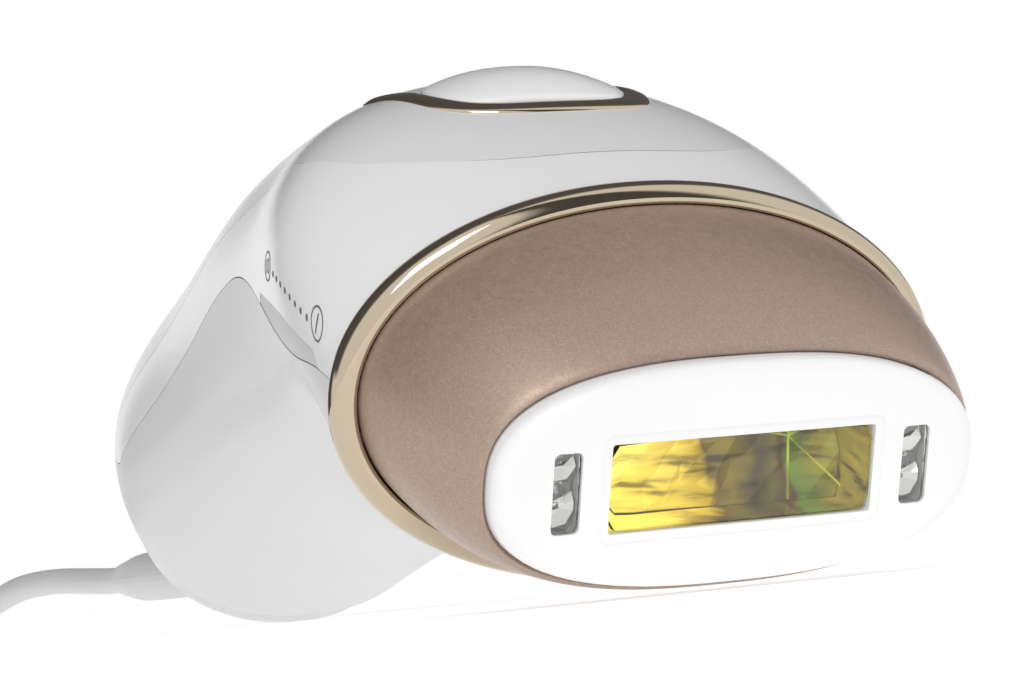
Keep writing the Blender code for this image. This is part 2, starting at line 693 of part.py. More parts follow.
# ---------------------------------------------------------------- fan
def build_fan():
    place = spine_place(FAN_S, up=2.0)
    lying = place @ Matrix.Rotation(math.radians(90), 4, "X")
    outline = rectangle(2 * FAN_HALF, 2 * FAN_HALF)
    plate("fan_housing", [outline, circle(FAN_HOLE, count=32)], FAN_DEEP, lying, BLACK, stance)
    base = [(0, 3.2), (1.2, 3.2), (1.2, -3.2), (6.5, -3.2), (6.5, -4.2), (0, -4.2)]
    turned("fan_axle", base, lying, STEEL, stance, steps=20)
    axle = joint_frame("fan_spin", lying)
    star = []
    for blade in range(BLADES):
        start = 360.0 * blade / BLADES
        for radius, turn in ((7.0, 0.0), (7.4, 6.0), (BLADE_R, 22.0), (BLADE_R, 36.0), (7.0, 26.0)):
            angle = math.radians(start + turn)
            star.append((radius * math.cos(angle), radius * math.sin(angle)))
    raised = lying @ Matrix.Translation(mm(0, 0, 0.4))
    plate("fan_rotor", [star, circle(1.5, count=16)], 6.0, raised, BLACK, axle)
    return axle


# ---------------------------------------------------------------- electronics in the handle
def build_electronics():
    stem = spine_place(3.75, up=-5.0)
    lying = stem @ Matrix.Rotation(math.radians(-90), 4, "X")
    can = [(0, 26.0), (13.2, 26.0), (14.0, 25.2), (14.0, -25.2), (13.2, -26.0), (0, -26.0)]
    turned("flash_capacitor", can, lying, SLEEVE, stance, steps=28)
    spots = [(-14.0, -22.0), (14.0, -22.0), (-14.0, 22.0), (14.0, 22.0)]
    level = spine_place(3.6, up=10.6)
    outlines = [rectangle(36, 56)] + [circle(1.2, x, y, 12) for x, y in spots]
    tray = plate("chassis", outlines, 1.6, level, BLACK, stance)
    board_level = level @ Matrix.Translation(mm(0, 0, 3.0))
    holes = [circle(1.3, x, y, 12) for x, y in spots]
    plate("main_board", [rectangle(34, 54)] + holes, 1.6, board_level, BOARD, stance)
    for index, (x, y) in enumerate(spots):
        spot = board_level @ Matrix.Translation(mm(x, y, 1.1))
        turned(f"board_screw_{index + 1}", screw_profile(1.9, 1.2, 4.2), spot, STEEL, stance, steps=16)
    chip = board_level @ Matrix.Translation(mm(0, 0, 2.0))
    box("control_chip", (0, -8, 0), (12, 12, 1.8), BLACK, place=chip)
    box("trigger_transformer", (-8, 0, 0), (14, 10, 13), COPPER, place=spine_place(2.42, up=-3.0))
    box("power_inductor", (8, 0, 0), (11, 10, 12), BLACK, place=spine_place(2.42, up=-3.0))
    return tray


def build_buttons():
    press = surface_axis(BUTTON_S)
    centre = top_point(0.0, BUTTON_S)
    flash = joint_frame("flash_button_press", turned_axis(centre, press))
    build_pad("flash_button", BUTTON_W, BUTTON_LONG, BUTTON_S, BUTTON_RISE, 2.4, flash)
    power_centre = top_point(0.0, POWER_S)
    power_press = surface_axis(POWER_S)
    power = joint_frame("power_button_press", turned_axis(power_centre, power_press))
    build_pad("power_button", POWER_W, POWER_LONG, POWER_S, 0.7, 2.4, power)
    under = turned_axis(centre, press)
    box("flash_switch", (0, 0, -6.3), (6, 6, 3.6), BLACK, place=under)
    box("button_board", (0, 0, -9.1), (26, 14, 1.4), BOARD, place=under)
    under = turned_axis(power_centre, power_press)
    box("power_switch", (0, 0, -5.2), (5, 5, 2.8), BLACK, place=under)
    return flash, power


# ---------------------------------------------------------------- assembling the handset
def build_shells():
    build_grip_shell()
    build_front_shell()
    cover = build_spine_cover()
    cut(cover, pad_cutter("flash_button_hole", BUTTON_W, BUTTON_LONG, BUTTON_S, GAP + 0.1))
    cut(cover, pad_cutter("power_button_hole", POWER_W, POWER_LONG, POWER_S, GAP + 0.1))
    build_vent_insert(1, "vent_insert_left")
    build_vent_insert(-1, "vent_insert_right")
    build_button_trim()


build_shells()
build_trim_ring()
build_treatment_head()
build_lamp_unit()
build_fan()
build_electronics()
build_buttons()


def settle():
    """Stands the handset on the floor plane and centres it on the origin."""
    bpy.context.view_layer.update()
    graph = bpy.context.evaluated_depsgraph_get()
    low, high = Vector((1e9,) * 3), Vector((-1e9,) * 3)
    for obj in parts.objects:
        if obj.type != "MESH":
            continue
        shape = obj.evaluated_get(graph)
        for vert in shape.data.vertices:
            point = shape.matrix_world @ vert.co
            low = Vector(map(min, low, point))
            high = Vector(map(max, high, point))
    stance.location = (-(low.x + high.x) / 2, -(low.y + high.y) / 2, -low.z)
    bpy.context.view_layer.update()


settle()


# ---------------------------------------------------------------- cord, in world coordinates
def along_y(y, z=CORD_Z, x=0.0):
    """A placing whose Z runs back along the world's Y."""
    return Matrix.Translation(mm(x, y, z)) @ Matrix.Rotation(math.radians(-90), 4, "X")


def cylinder(name, radius, low, high, place, look, collection=parts):
    bm = bmesh.new()
    middle = Matrix.Translation(mm(0, 0, (low + high) / 2))
    bmesh.ops.create_cone(bm, cap_ends=True, segments=24, radius1=radius * 0.001, radius2=radius * 0.001,
                          depth=(high - low) * 0.001, matrix=place @ middle)
    return make_object(name, bm, look, None, collection)


def build_cord_exit():
    shell = parts.objects["grip_shell"]
    cut(shell, cylinder("cord_hole", RELIEF_R + GAP, 62.0, 95.0, along_y(0.0), None, cutters))
    long = SOCKET_TO - SOCKET_FROM
    bore = RELIEF_R + GAP
    socket = [(SOCKET_R, long), (SOCKET_R, 0.0), (bore, 0.0), (bore, long)]
    turned("cord_socket", socket, along_y(SOCKET_FROM), WHITE, None, closed=True, steps=28)
    long = RELIEF_TO - RELIEF_FROM
    tip = CORD_D / 2 + 0.5
    sleeve = [(0, long), (tip, long), (RELIEF_R - 0.2, long - 8.0), (RELIEF_R, long - 11.0)]
    sleeve += [(RELIEF_R, 0), (0, 0)]
    turned("strain_relief", sleeve, along_y(RELIEF_FROM), CORD, None, steps=28)


def smooth_run(route, step):
    """Points read from a smooth curve through the route, about a step apart."""
    points = []
    for i, (here, there) in enumerate(zip(route, route[1:])):
        count = max(2, round((Vector(there) - Vector(here)).length / step))
        points += [smooth_row(route, i + j / count) for j in range(count)]
    return points + [list(route[-1])]


def cord_run(name, route):
    curve = bpy.data.curves.new(name, "CURVE")
    curve.dimensions = "3D"
    curve.bevel_depth = CORD_D / 2 * 0.001
    curve.bevel_resolution = 2
    curve.use_fill_caps = True
    run = smooth_run(route, 2.2 * CORD_D)
    spline = curve.splines.new("POLY")
    spline.points.add(len(run) - 1)
    for point, place in zip(spline.points, run):
        point.co = (*mm(*place), 1.0)
    obj = bpy.data.objects.new(name, curve)
    parts.objects.link(obj)
    curve.materials.append(CORD)


def build_cord():
    cord_run("power_cord", ROUTE)
    cord_run("adapter_cord", TAIL)
    high = COIL_LOW + COIL_TALL
    ring = [(COIL_OUT, high), (COIL_OUT, COIL_LOW), (COIL_IN, COIL_LOW), (COIL_IN, high)]
    place = Matrix.Translation(mm(COIL_X, COIL_Y, 0))
    turned("cord_coil", ring, place, CORD, None, closed=True, steps=40)
    wide, tall = COIL_OUT - COIL_IN, COIL_TALL
    middle = Matrix.Translation(mm(COIL_X, COIL_Y + (COIL_OUT + COIL_IN) / 2, COIL_LOW + tall / 2))
    upright = middle @ Matrix.Rotation(math.radians(90), 4, "Z") @ Matrix.Rotation(math.radians(90), 4, "X")
    band = [rectangle(wide + 2.0, tall + 2.0), rectangle(wide + 0.8, tall + 0.6)]
    plate("cord_tie", band, 8.0, upright, BLACK, None)


def build_adapter():
    x, y, z = ADAPTER_AT
    wide, long, tall = ADAPTER
    bm = bmesh.new()
    scale = Matrix.Diagonal((*mm(wide, long, tall), 1.0))
    bmesh.ops.create_cube(bm, size=1.0, matrix=Matrix.Translation(mm(x, y, z)) @ scale)
    soften(make_object("adapter_case", bm, WHITE), 3.0, 3)
    back = y + long / 2
    sleeve = [(0, 11.7), (CORD_D / 2 + 0.5, 11.7), (4.0, 0.3), (0, 0.3)]
    turned("adapter_relief", sleeve, along_y(back, 14.2, x), CORD, None)
    front = y - long / 2 - GAP
    for side, word in ((-1, "left"), (1, "right")):
        pin = along_y(front, z, x + side * PIN_APART / 2)
        cylinder("adapter_pin_" + word, PIN_R, -PIN_LONG, 0.0, pin, STEEL)


build_cord_exit()
build_cord()
build_adapter()
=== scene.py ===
"""Looks for the corded light-pulse hair remover.

Shapes are worked out in millimetres in the head frame: X across, +Y back into the handle, +Z up, zero at the
centre of the white skin face. world() turns them into the row frame in metres.
"""

import json
import math

import bmesh
import bpy
import numpy as np
from mathutils import Matrix, Vector

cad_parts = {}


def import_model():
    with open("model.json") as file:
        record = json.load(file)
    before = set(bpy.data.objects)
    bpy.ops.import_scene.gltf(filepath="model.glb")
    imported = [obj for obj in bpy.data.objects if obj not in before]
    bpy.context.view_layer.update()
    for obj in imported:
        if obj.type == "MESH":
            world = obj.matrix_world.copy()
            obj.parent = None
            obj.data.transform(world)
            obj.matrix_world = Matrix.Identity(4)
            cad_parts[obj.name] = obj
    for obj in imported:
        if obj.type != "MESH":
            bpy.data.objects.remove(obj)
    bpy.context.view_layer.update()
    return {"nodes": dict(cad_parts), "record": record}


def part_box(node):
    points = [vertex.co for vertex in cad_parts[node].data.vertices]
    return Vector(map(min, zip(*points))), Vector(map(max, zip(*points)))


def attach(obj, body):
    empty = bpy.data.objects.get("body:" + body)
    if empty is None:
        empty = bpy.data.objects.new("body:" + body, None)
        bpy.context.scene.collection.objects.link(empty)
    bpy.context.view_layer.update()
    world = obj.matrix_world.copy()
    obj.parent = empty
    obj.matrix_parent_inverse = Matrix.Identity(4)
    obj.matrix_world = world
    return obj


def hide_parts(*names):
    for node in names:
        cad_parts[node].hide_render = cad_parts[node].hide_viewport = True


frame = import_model()
scene = bpy.context.scene

HANDSET, HEAD = "handset", "treatment_head"

# ---------------------------------------------------------------- sizes, in millimetres and degrees
STANCE_PITCH = 19.4
STATIONS = [
    (28.9, 5.6, -5.0, 41.3, 24.4),
    (51.0, 12.0, -24.0, 39.5, 27.0),
    (70.0, 4.5, -27.0, 34.5, 30.5),
    (96.0, -7.0, -28.0, 29.5, 29.5),
    (119.0, -22.0, -35.0, 26.5, 27.0),
    (139.0, -38.0, -48.0, 25.0, 25.0),
    (144.0, -50.0, -74.0, 19.0, 21.5),
]
END_DOME = 7.0
BODY_POWER = 2.25
WALL = 1.9
SEAM = 0.16
GRIP_SEAM = [(-0.1, 88.0), (1.0, 99.0), (2.5, 75.5), (3.5, 80.5), (4.9, 83.5)]
COVER_SEAM = [(0.9, 62.0), (2.5, 57.5), (3.9, 61.5), (5.4, 70.0)]
COVER_FRONT, COVER_BEND, COVER_TURN = 0.24, 0.58, 0.36
ARM_END, GRIP_TURN, GRIP_BACK = 5.125, 4.9, 5.32
COVER_REAR_V, REAR_GAP = 68.6, 0.014
VENT_FROM, VENT_TO, VENT_STEP = 0.32, 1.69, 0.09
VENT_MIDDLE, VENT_PEAK, VENT_BOW = 0.9, 92.0, 9.5

RING_Y, RING_Z, RING_TILT = 26.4, 5.4, -5.0
RING_W, RING_H, RING_POWER, RING_WIDE = 42.8, 25.3, 2.05, 2.75
FACE_W, FACE_H, FACE_POWER, FACE_Z, FACE_DEEP = 33.2, 13.9, 2.58, 0.6, 3.7
FACE_ROUND, LIP, COLLAR_WALL = 2.1, 0.9, 1.8
WINDOW_W, WINDOW_H = 36.4, 11.0
SENSOR_X, SENSOR_W, SENSOR_H = 24.1, 3.75, 9.9
GLASS_MIDDLE = Vector((0.0, 2.8, 0.0))

BUTTON_S, BUTTON_W, BUTTON_LONG, BUTTON_RISE = 1.06, 14.0, 0.325, 2.2
POWER_S, POWER_W, POWER_LONG = 3.35, 6.5, 0.17

CORD_D = 4.6
COIL_X, COIL_Y, COIL_LOW = -35.0, 262.0, 1.2
STATION_MM = 23.0
KEY_AT, KEY_SIZE, KEY_WATTS = (-0.3, -1.2, 1.2), (0.7, 0.7), 6.5
KEY_AIM = (0, 0, 0.03)
# The first value is the emission strength of the painted glow on the optics inside the window.
OPTICS_PAINTED_GLOW, FLOOR_SIZE = 0.62, 12.0
ROUTE = [
    (0.0, 130.3, 9.4), (-0.1, 138.0, 9.4), (-0.5, 150.0, 9.9), (-1.4, 164.0, 10.4), (-2.4, 179.0, 9.8),
    (-2.8, 194.0, 7.6), (-2.4, 209.0, 5.2), (-1.6, 226.0, 3.8), (-0.8, 242.6, 3.5),
]
TAIL = [
    (-70.0, 259.0, 17.9), (-70.1, 250.0, 17.8), (-70.1, 240.0, 16.8), (-70.0, 229.0, 15.0),
    (-70.0, 221.5, 14.3), (-70.0, 217.3, 14.2),
]


# ---------------------------------------------------------------- frames
def middle_of(node):
    low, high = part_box(node)
    return (Vector(low) + Vector(high)) / 2


TURN = Matrix.Rotation(math.radians(STANCE_PITCH), 3, "X")
SHIFT = middle_of("window_glass") - TURN @ (GLASS_MIDDLE * 0.001)
TURN_ROWS = np.array(TURN)
SHIFT_ROW = np.array(SHIFT)


def world(points):
    """Points of the head frame in millimetres, as row-frame points in metres."""
    return np.asarray(points, float) * 0.001 @ TURN_ROWS.T + SHIFT_ROW


HEAD_PLACE = Matrix.Translation(SHIFT) @ TURN.to_4x4()


# ---------------------------------------------------------------- camera, at the photograph's viewing angle
CAMERA_AT = Vector((-219.9, -459.7, 5.5))
CAMERA_TURN = (93.38, 5.54, -26.49)
LENS = 127.6


def make_camera():
    """The eye is in row-frame millimetres, just above the floor; the turn is in degrees about X, Y and Z."""
    data = bpy.data.cameras.new("camera")
    data.lens = LENS
    data.sensor_width = 36.0
    data.clip_start = 0.01
    camera = bpy.data.objects.new("camera", data)
    camera.location = CAMERA_AT * 0.001
    camera.rotation_euler = [math.radians(angle) for angle in CAMERA_TURN]
    scene.collection.objects.link(camera)
    scene.camera = camera


make_camera()


# ---------------------------------------------------------------- materials
class Look:
    """A node material on one Principled shader, in object coordinates (metres)."""

    def __init__(self, name, **sockets):
        self.material = bpy.data.materials.new(name)
        self.material.use_nodes = True
        self.tree = self.material.node_tree
        self.shader = self.tree.nodes["Principled BSDF"]
        self.place = self.node("ShaderNodeTexCoord").outputs["Object"]
        for socket, value in sockets.items():
            self.shader.inputs[socket.replace("_", " ")].default_value = value

    def node(self, kind, **settings):
        made = self.tree.nodes.new(kind)
        for key, value in settings.items():
            setattr(made, key, value)
        return made

    def link(self, source, target):
        self.tree.links.new(source, target)

    def noise(self, scale, detail=2.0, rough=0.5, where=None):
        made = self.node("ShaderNodeTexNoise")
        made.inputs["Scale"].default_value = scale
        made.inputs["Detail"].default_value = detail
        made.inputs["Roughness"].default_value = rough
        self.link(where or self.place, made.inputs["Vector"])
        return made.outputs["Fac"]

    def ramp(self, source, stops):
        made = self.node("ShaderNodeValToRGB")
        while len(made.color_ramp.elements) < len(stops):
            made.color_ramp.elements.new(0.5)
        for element, (at, colour) in zip(made.color_ramp.elements, stops):
            element.position = at
            element.color = (*colour, 1.0)
        self.link(source, made.inputs["Fac"])
        return made.outputs["Color"]

    def range(self, source, low, high, first=0.3, last=0.7):
        made = self.node("ShaderNodeMapRange")
        made.inputs["From Min"].default_value = first
        made.inputs["From Max"].default_value = last
        made.inputs["To Min"].default_value = low
        made.inputs["To Max"].default_value = high
        self.link(source, made.inputs["Value"])
        return made.outputs["Result"]

    def bump(self, source, distance, strength=1.0):
        made = self.node("ShaderNodeBump")
        made.inputs["Distance"].default_value = distance
        made.inputs["Strength"].default_value = strength
        self.link(source, made.inputs["Height"])
        last = self.shader.inputs["Normal"]
        if last.is_linked:
            self.link(last.links[0].from_socket, made.inputs["Normal"])
        self.link(made.outputs["Normal"], last)

    def colour(self, source):
        self.link(source, self.shader.inputs["Base Color"])

    def roughness(self, source):
        self.link(source, self.shader.inputs["Roughness"])


def shade(colour, by):
    return tuple(min(c * by, 1.0) for c in colour)


def plastic(name, colour, rough, spread=0.03, grain=900.0, deep=0.0000008, coat=0.0):
    """Moulded plastic: faint cloudiness in colour and gloss, and a fine moulded grain."""
    look = Look(name, Roughness=rough, Coat_Weight=coat, Coat_Roughness=0.06)
    cloud = look.noise(38.0, 3.0)
    look.colour(look.ramp(cloud, [(0.3, shade(colour, 1 - spread)), (0.7, shade(colour, 1 + spread))]))
    look.roughness(look.range(look.noise(60.0, 2.0), rough * 0.96, rough * 1.05))
    look.bump(look.noise(grain, 2.0), deep)
    return look.material


def metal(name, colour, rough, spread=0.04, grain=600.0, deep=0.000002, brushed=False):
    look = Look(name, Metallic=1.0, Roughness=rough)
    where = None
    if brushed:
        mapping = look.node("ShaderNodeMapping")
        mapping.inputs["Scale"].default_value = (1.0, 14.0, 14.0)
        look.link(look.place, mapping.inputs["Vector"])
        where = mapping.outputs["Vector"]
    cloud = look.noise(60.0, 3.0, where=where)
    look.colour(look.ramp(cloud, [(0.3, shade(colour, 1 - spread)), (0.7, shade(colour, 1 + spread))]))
    look.roughness(look.range(look.noise(220.0, 3.0, where=where), rough * 0.75, rough * 1.3))
    look.bump(look.noise(grain, 2.0, where=where), deep)
    return look.material


def flake_paint():
    """Taupe paint with fine bright and dark metal flakes under a soft clear coat."""
    look = Look("taupe_metallic", Metallic=0.55, Roughness=0.42, Coat_Weight=0.25, Coat_Roughness=0.25)
    cells = look.node("ShaderNodeTexVoronoi")
    cells.inputs["Scale"].default_value = 6500.0
    look.link(look.place, cells.inputs["Vector"])
    tone = look.node("ShaderNodeSeparateColor")
    look.link(cells.outputs["Color"], tone.inputs["Color"])
    base = (0.40, 0.295, 0.232)
    colours = [(0.0, shade(base, 0.88)), (0.5, base), (0.88, shade(base, 1.06)), (1.0, shade(base, 1.22))]
    look.colour(look.ramp(tone.outputs["Red"], colours))
    look.roughness(look.range(look.noise(900.0, 2.0), 0.36, 0.50))
    look.bump(look.noise(2600.0, 2.0), 0.000006)
    look.bump(tone.outputs["Green"], 0.000003)
    return look.material


def clear(name, colour, rough=0.02, ior=1.46):
    """Glass or clear plastic with faint waviness."""
    look = Look(name, Transmission_Weight=1.0, Roughness=rough, IOR=ior)
    cloud = look.noise(90.0, 2.0)
    look.colour(look.ramp(cloud, [(0.3, shade(colour, 0.97)), (0.7, colour)]))
    look.bump(look.noise(140.0, 2.0), 0.000006)
    return look.material


def painted_glow_look():
    """The yellow coated optics, with painted light: they glow by emission as painted light in the lamp
    channel, and the bright yellow on the left is a painted reflection, then dark amber and green with fine
    streaks.
    """
    look = Look("optics_painted_glow", Roughness=0.22, Metallic=0.35, Emission_Strength=OPTICS_PAINTED_GLOW)
    apart = look.node("ShaderNodeSeparateXYZ")
    look.link(look.place, apart.inputs["Vector"])
    wander = look.range(look.noise(150.0, 3.0), -0.0022, 0.0022)
    shifted = look.node("ShaderNodeMath", operation="ADD")
    look.link(apart.outputs["X"], shifted.inputs[0])
    look.link(wander, shifted.inputs[1])
    across = look.range(shifted.outputs[0], 0.0, 1.0, -0.0185, 0.0185)
    tone = look.ramp(across, [
        (0.0, (1.0, 0.88, 0.10)), (0.20, (1.0, 0.84, 0.16)), (0.34, (0.92, 0.72, 0.10)),
        (0.46, (0.66, 0.48, 0.03)), (0.50, (0.16, 0.10, 0.01)), (0.58, (0.22, 0.17, 0.01)),
        (0.66, (0.06, 0.04, 0.01)), (0.73, (0.14, 0.13, 0.01)), (0.78, (0.10, 0.02, 0.01)),
        (0.82, (0.12, 0.22, 0.01)), (0.91, (0.17, 0.21, 0.01)), (1.0, (0.40, 0.30, 0.02)),
    ])
    mapping = look.node("ShaderNodeMapping")
    mapping.inputs["Scale"].default_value = (0.8, 1.0, 7.0)
    look.link(look.place, mapping.inputs["Vector"])
    streak = look.ramp(look.noise(130.0, 4.0, where=mapping.outputs["Vector"]),
                       [(0.34, (0.22, 0.20, 0.12)), (0.46, (0.80, 0.80, 0.7)), (0.62, (1.0, 1.0, 1.0))])
    mixed = look.node("ShaderNodeMix", data_type="RGBA", blend_type="MULTIPLY")
    mixed.inputs["Factor"].default_value = 1.0
    look.link(tone, mixed.inputs[6])
    look.link(streak, mixed.inputs[7])
    look.colour(mixed.outputs[2])
    look.link(mixed.outputs[2], look.shader.inputs["Emission Color"])
    return look.material


def painted_glow_seam_look():
    # Painted glow: the reflector's seams shine green by emission, standing in for light reflected along them.
    look = Look("seam_green_painted_glow", Roughness=0.2, Emission_Strength=0.5)
    tone = look.ramp(look.noise(220.0), [(0.35, (0.22, 0.36, 0.01)), (0.6, (0.62, 0.66, 0.05))])
    look.colour(tone)
    look.link(tone, look.shader.inputs["Emission Color"])
    return look.material


def filter_look():
    """Yellow coated filter: clear yellow with green and amber interference bands."""
    look = Look("filter_yellow", Transmission_Weight=0.35, Roughness=0.08, IOR=1.5, Metallic=0.45)
    cloud = look.noise(120.0, 4.0)
    stops = [(0.25, (0.34, 0.30, 0.0)), (0.5, (0.85, 0.70, 0.02)), (0.8, (0.95, 0.86, 0.10))]
    look.colour(look.ramp(cloud, stops))
    look.bump(look.noise(90.0, 2.0), 0.00002)
    return look.material


def board_look():
    look = Look("board_green", Roughness=0.35, Coat_Weight=0.4)
    traces = look.node("ShaderNodeTexBrick")
    traces.inputs["Scale"].default_value = 420.0
    traces.inputs["Color1"].default_value = (0.012, 0.12, 0.05, 1)
    traces.inputs["Color2"].default_value = (0.016, 0.15, 0.065, 1)
    traces.inputs["Mortar"].default_value = (0.03, 0.25, 0.11, 1)
    look.link(look.place, traces.inputs["Vector"])
    look.colour(traces.outputs["Color"])
    look.roughness(look.range(look.noise(500.0), 0.28, 0.45))
    return look.material


WHITE = (0.80, 0.80, 0.805)
LOOKS = {
    "gloss_white": plastic("gloss_white", WHITE, 0.22, 0.008, coat=0.35),
    # The spine cover is the front shell's gloss white made darker: painted shade on the cover's top.
    "cover_white": plastic("cover_white", (0.73, 0.73, 0.735), 0.22, 0.008, coat=0.35),
    "adapter_white": plastic("adapter_white", (0.72, 0.72, 0.725), 0.36, 0.012, deep=0.000004),
    "grip_white": plastic("grip_white", (0.655, 0.655, 0.66), 0.34, 0.008, coat=0.1),
    "face_white": plastic("face_white", (0.85, 0.85, 0.85), 0.34, 0.006, coat=0.1),
    # vent_grey is a flat grey that paints the shade inside the vent gaps onto the inserts.
    "vent_grey": plastic("vent_grey", (0.56, 0.56, 0.565), 0.42, 0.03, deep=0.000002),
    "taupe_metallic": flake_paint(),
    "champagne_chrome": metal("champagne_chrome", (0.56, 0.47, 0.35), 0.05, 0.02),
    "window_clear": clear("window_clear", (0.98, 0.98, 0.95)),
    "filter_yellow": filter_look(),
    "optics_painted_glow": painted_glow_look(),
    "seam_green_painted_glow": painted_glow_seam_look(),
    "sensor_mirror": metal("sensor_mirror", (0.62, 0.62, 0.63), 0.12, 0.25, grain=900.0, deep=0.00001),
    "lamp_quartz": clear("lamp_quartz", (0.97, 0.97, 1.0)),
    "mirror_aluminium": metal("mirror_aluminium", (0.88, 0.84, 0.55), 0.06, 0.05),
    "plain_aluminium": metal("plain_aluminium", (0.70, 0.71, 0.73), 0.34, 0.05, brushed=True),
    "screw_steel": metal("screw_steel", (0.50, 0.50, 0.52), 0.28, 0.06),
    "black_plastic": plastic("black_plastic", (0.030, 0.030, 0.032), 0.42, 0.12, deep=0.000012),
    "board_green": board_look(),
    "copper_winding": metal("copper_winding", (0.72, 0.36, 0.16), 0.32, 0.12, brushed=True),
    "capacitor_sleeve": plastic("capacitor_sleeve", (0.05, 0.07, 0.16), 0.30, 0.10),
    "cord_grey_white": plastic("cord_grey_white", (0.62, 0.62, 0.63), 0.38, 0.02, deep=0.00001),
    "print_grey": plastic("print_grey", (0.13, 0.13, 0.14), 0.5, 0.1),
}


def dress_frame():
    """Every CAD node takes the node material of its slot."""
    for entry in frame["record"]["subparts"]:
        node = frame["nodes"][entry["node"]]
        node.data.materials.clear()
        node.data.materials.append(LOOKS[entry["material_slot"]])


# ---------------------------------------------------------------- mesh helpers
def finish_piece(name, bm, look, body, stands_for=(), smooth=35.0):
    data = bpy.data.meshes.new(name)
    bm.normal_update()
    bm.to_mesh(data)
    bm.free()
    data.materials.append(LOOKS[look])
    piece = bpy.data.objects.new(name, data)
    scene.collection.objects.link(piece)
    for polygon in data.polygons:
        polygon.use_smooth = True
    data.set_sharp_from_angle(angle=math.radians(smooth))
    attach(piece, body)
    if stands_for:
        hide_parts(*stands_for)
    return piece


def loft(loops, closed_run=False, first_cap=False, last_cap=False):
    """A skin over equal closed loops of row-frame points."""
    bm = bmesh.new()
    rings = [[bm.verts.new(Vector(p)) for p in loop] for loop in loops]
    pairs = list(zip(rings, rings[1:])) + ([(rings[-1], rings[0])] if closed_run else [])
    for near, far in pairs:
        for i in range(len(near)):
            j = (i + 1) % len(near)
            bm.faces.new((near[i], near[j], far[j], far[i]))
    if first_cap:
        bm.faces.new(rings[0][::-1])
    if last_cap:
        bm.faces.new(rings[-1])
    bmesh.ops.recalc_face_normals(bm, faces=bm.faces)
    return bm


def solid(loops):
    return loft(loops, first_cap=True, last_cap=True)


def superellipse(half_w, half_h, power, count):
    angle = np.linspace(0, 2 * np.pi, count, endpoint=False)
    across, up = np.sin(angle), np.cos(angle)
    reach = (np.abs(up / half_h) ** power + np.abs(across / half_w) ** power) ** (-1 / power)
    return -reach * across, reach * up


def oval(y, z, tilt, half_w, half_h, power, count=160):
    """An oval loop of the head frame in row-frame points, leaning by tilt degrees about X."""
    x, up = superellipse(half_w, half_h, power, count)
    lean = math.radians(tilt)
    return world(np.stack([x, y - up * math.sin(lean), z + up * math.cos(lean)], axis=-1))


# ---------------------------------------------------------------- handle surface
def natural_spline(rows):
    """A smooth curve through rows of numbers, one row a unit apart."""
    rows = np.array(rows, float)
    count = len(rows)
    system = np.eye(count)
    right = np.zeros_like(rows)
    for i in range(1, count - 1):
        system[i, i - 1:i + 2] = (1, 4, 1)
        right[i] = 6 * (rows[i - 1] - 2 * rows[i] + rows[i + 1])
    bends = np.linalg.solve(system, right)

    def at(s):
        s = np.asarray(s, float)
        i = np.clip(np.floor(s).astype(int), 0, count - 2)
        f = (s - i)[..., None]
        g = 1 - f
        return g * rows[i] + f * rows[i + 1] + ((g ** 3 - g) * bends[i] + (f ** 3 - f) * bends[i + 1]) / 6

    return at


def dome_rows():
    """Sections of the rounded rear end, as stations that follow the last one."""
    y, z, tilt, half_w, half_h = STATIONS[-1]
    lean = math.radians(tilt)
    rows = []
    for turn in (30, 60, 90, 120):
        back = END_DOME * math.sin(math.radians(turn))
        shrink = math.cos(math.radians(turn))
        y_at, z_at = y + back * math.cos(lean), z + back * math.sin(lean)
        rows.append((y_at, z_at, tilt, half_w * shrink, half_h * shrink))
    return rows


BODY = natural_spline(STATIONS + dome_rows())
POLE = len(STATIONS) - 1 + 3


def surface(s, v):
    """Head-frame points of the handle: s counts stations, v turns in degrees from the top to -X."""
    s, v = np.broadcast_arrays(np.asarray(s, float), np.asarray(v, float))
    y, z, tilt, half_w, half_h = np.moveaxis(BODY(s), -1, 0)
    half_w, half_h = np.maximum(half_w, 1e-6), np.maximum(half_h, 1e-6)
    lean, angle = np.radians(tilt), np.radians(v)
    across, up = np.sin(angle), np.cos(angle)
    reach = (np.abs(up / half_h) ** BODY_POWER + np.abs(across / half_w) ** BODY_POWER) ** (-1 / BODY_POWER)
    return np.stack([-reach * across, y - reach * up * np.sin(lean), z + reach * up * np.cos(lean)], axis=-1)


def normals(s, v):
    """Outward unit normals of the handle surface."""
    along = surface(s + 0.01, v) - surface(s - 0.01, v)
    around = surface(s, v + 0.5) - surface(s, v - 0.5)
    out = np.cross(along, around)
    return out / np.linalg.norm(out, axis=-1, keepdims=True)


def lifted(s, v, lift):
    s, v = np.broadcast_arrays(np.asarray(s, float), np.asarray(v, float))
    return surface(s, v) + normals(s, v) * np.asarray(lift, float)[..., None]


def through(table):
    """A smooth line through a table's places, read at any station."""
    at, angle = np.array(table).T
    slope = np.gradient(angle, at)

    def read(s):
        s = np.clip(np.asarray(s, float), at[0], at[-1])
        i = np.clip(np.searchsorted(at, s, side="right") - 1, 0, len(at) - 2)
        wide = at[i + 1] - at[i]
        f = (s - at[i]) / wide
        first = angle[i] * (1 + 2 * f) * (1 - f) ** 2 + angle[i + 1] * f * f * (3 - 2 * f)
        return first + wide * (slope[i] * f * (1 - f) ** 2 - slope[i + 1] * f * f * (1 - f))

    return read


def eased(table):
    """A line that runs level through each of a table's places and eases from one to the next."""
    at, angle = np.array(table).T

    def read(s):
        s = np.clip(np.asarray(s, float), at[0], at[-1])
        i = np.clip(np.searchsorted(at, s, side="right") - 1, 0, len(at) - 2)
        f = (s - at[i]) / (at[i + 1] - at[i])
        return angle[i] + (angle[i + 1] - angle[i]) * f * f * (3 - 2 * f)

    return read


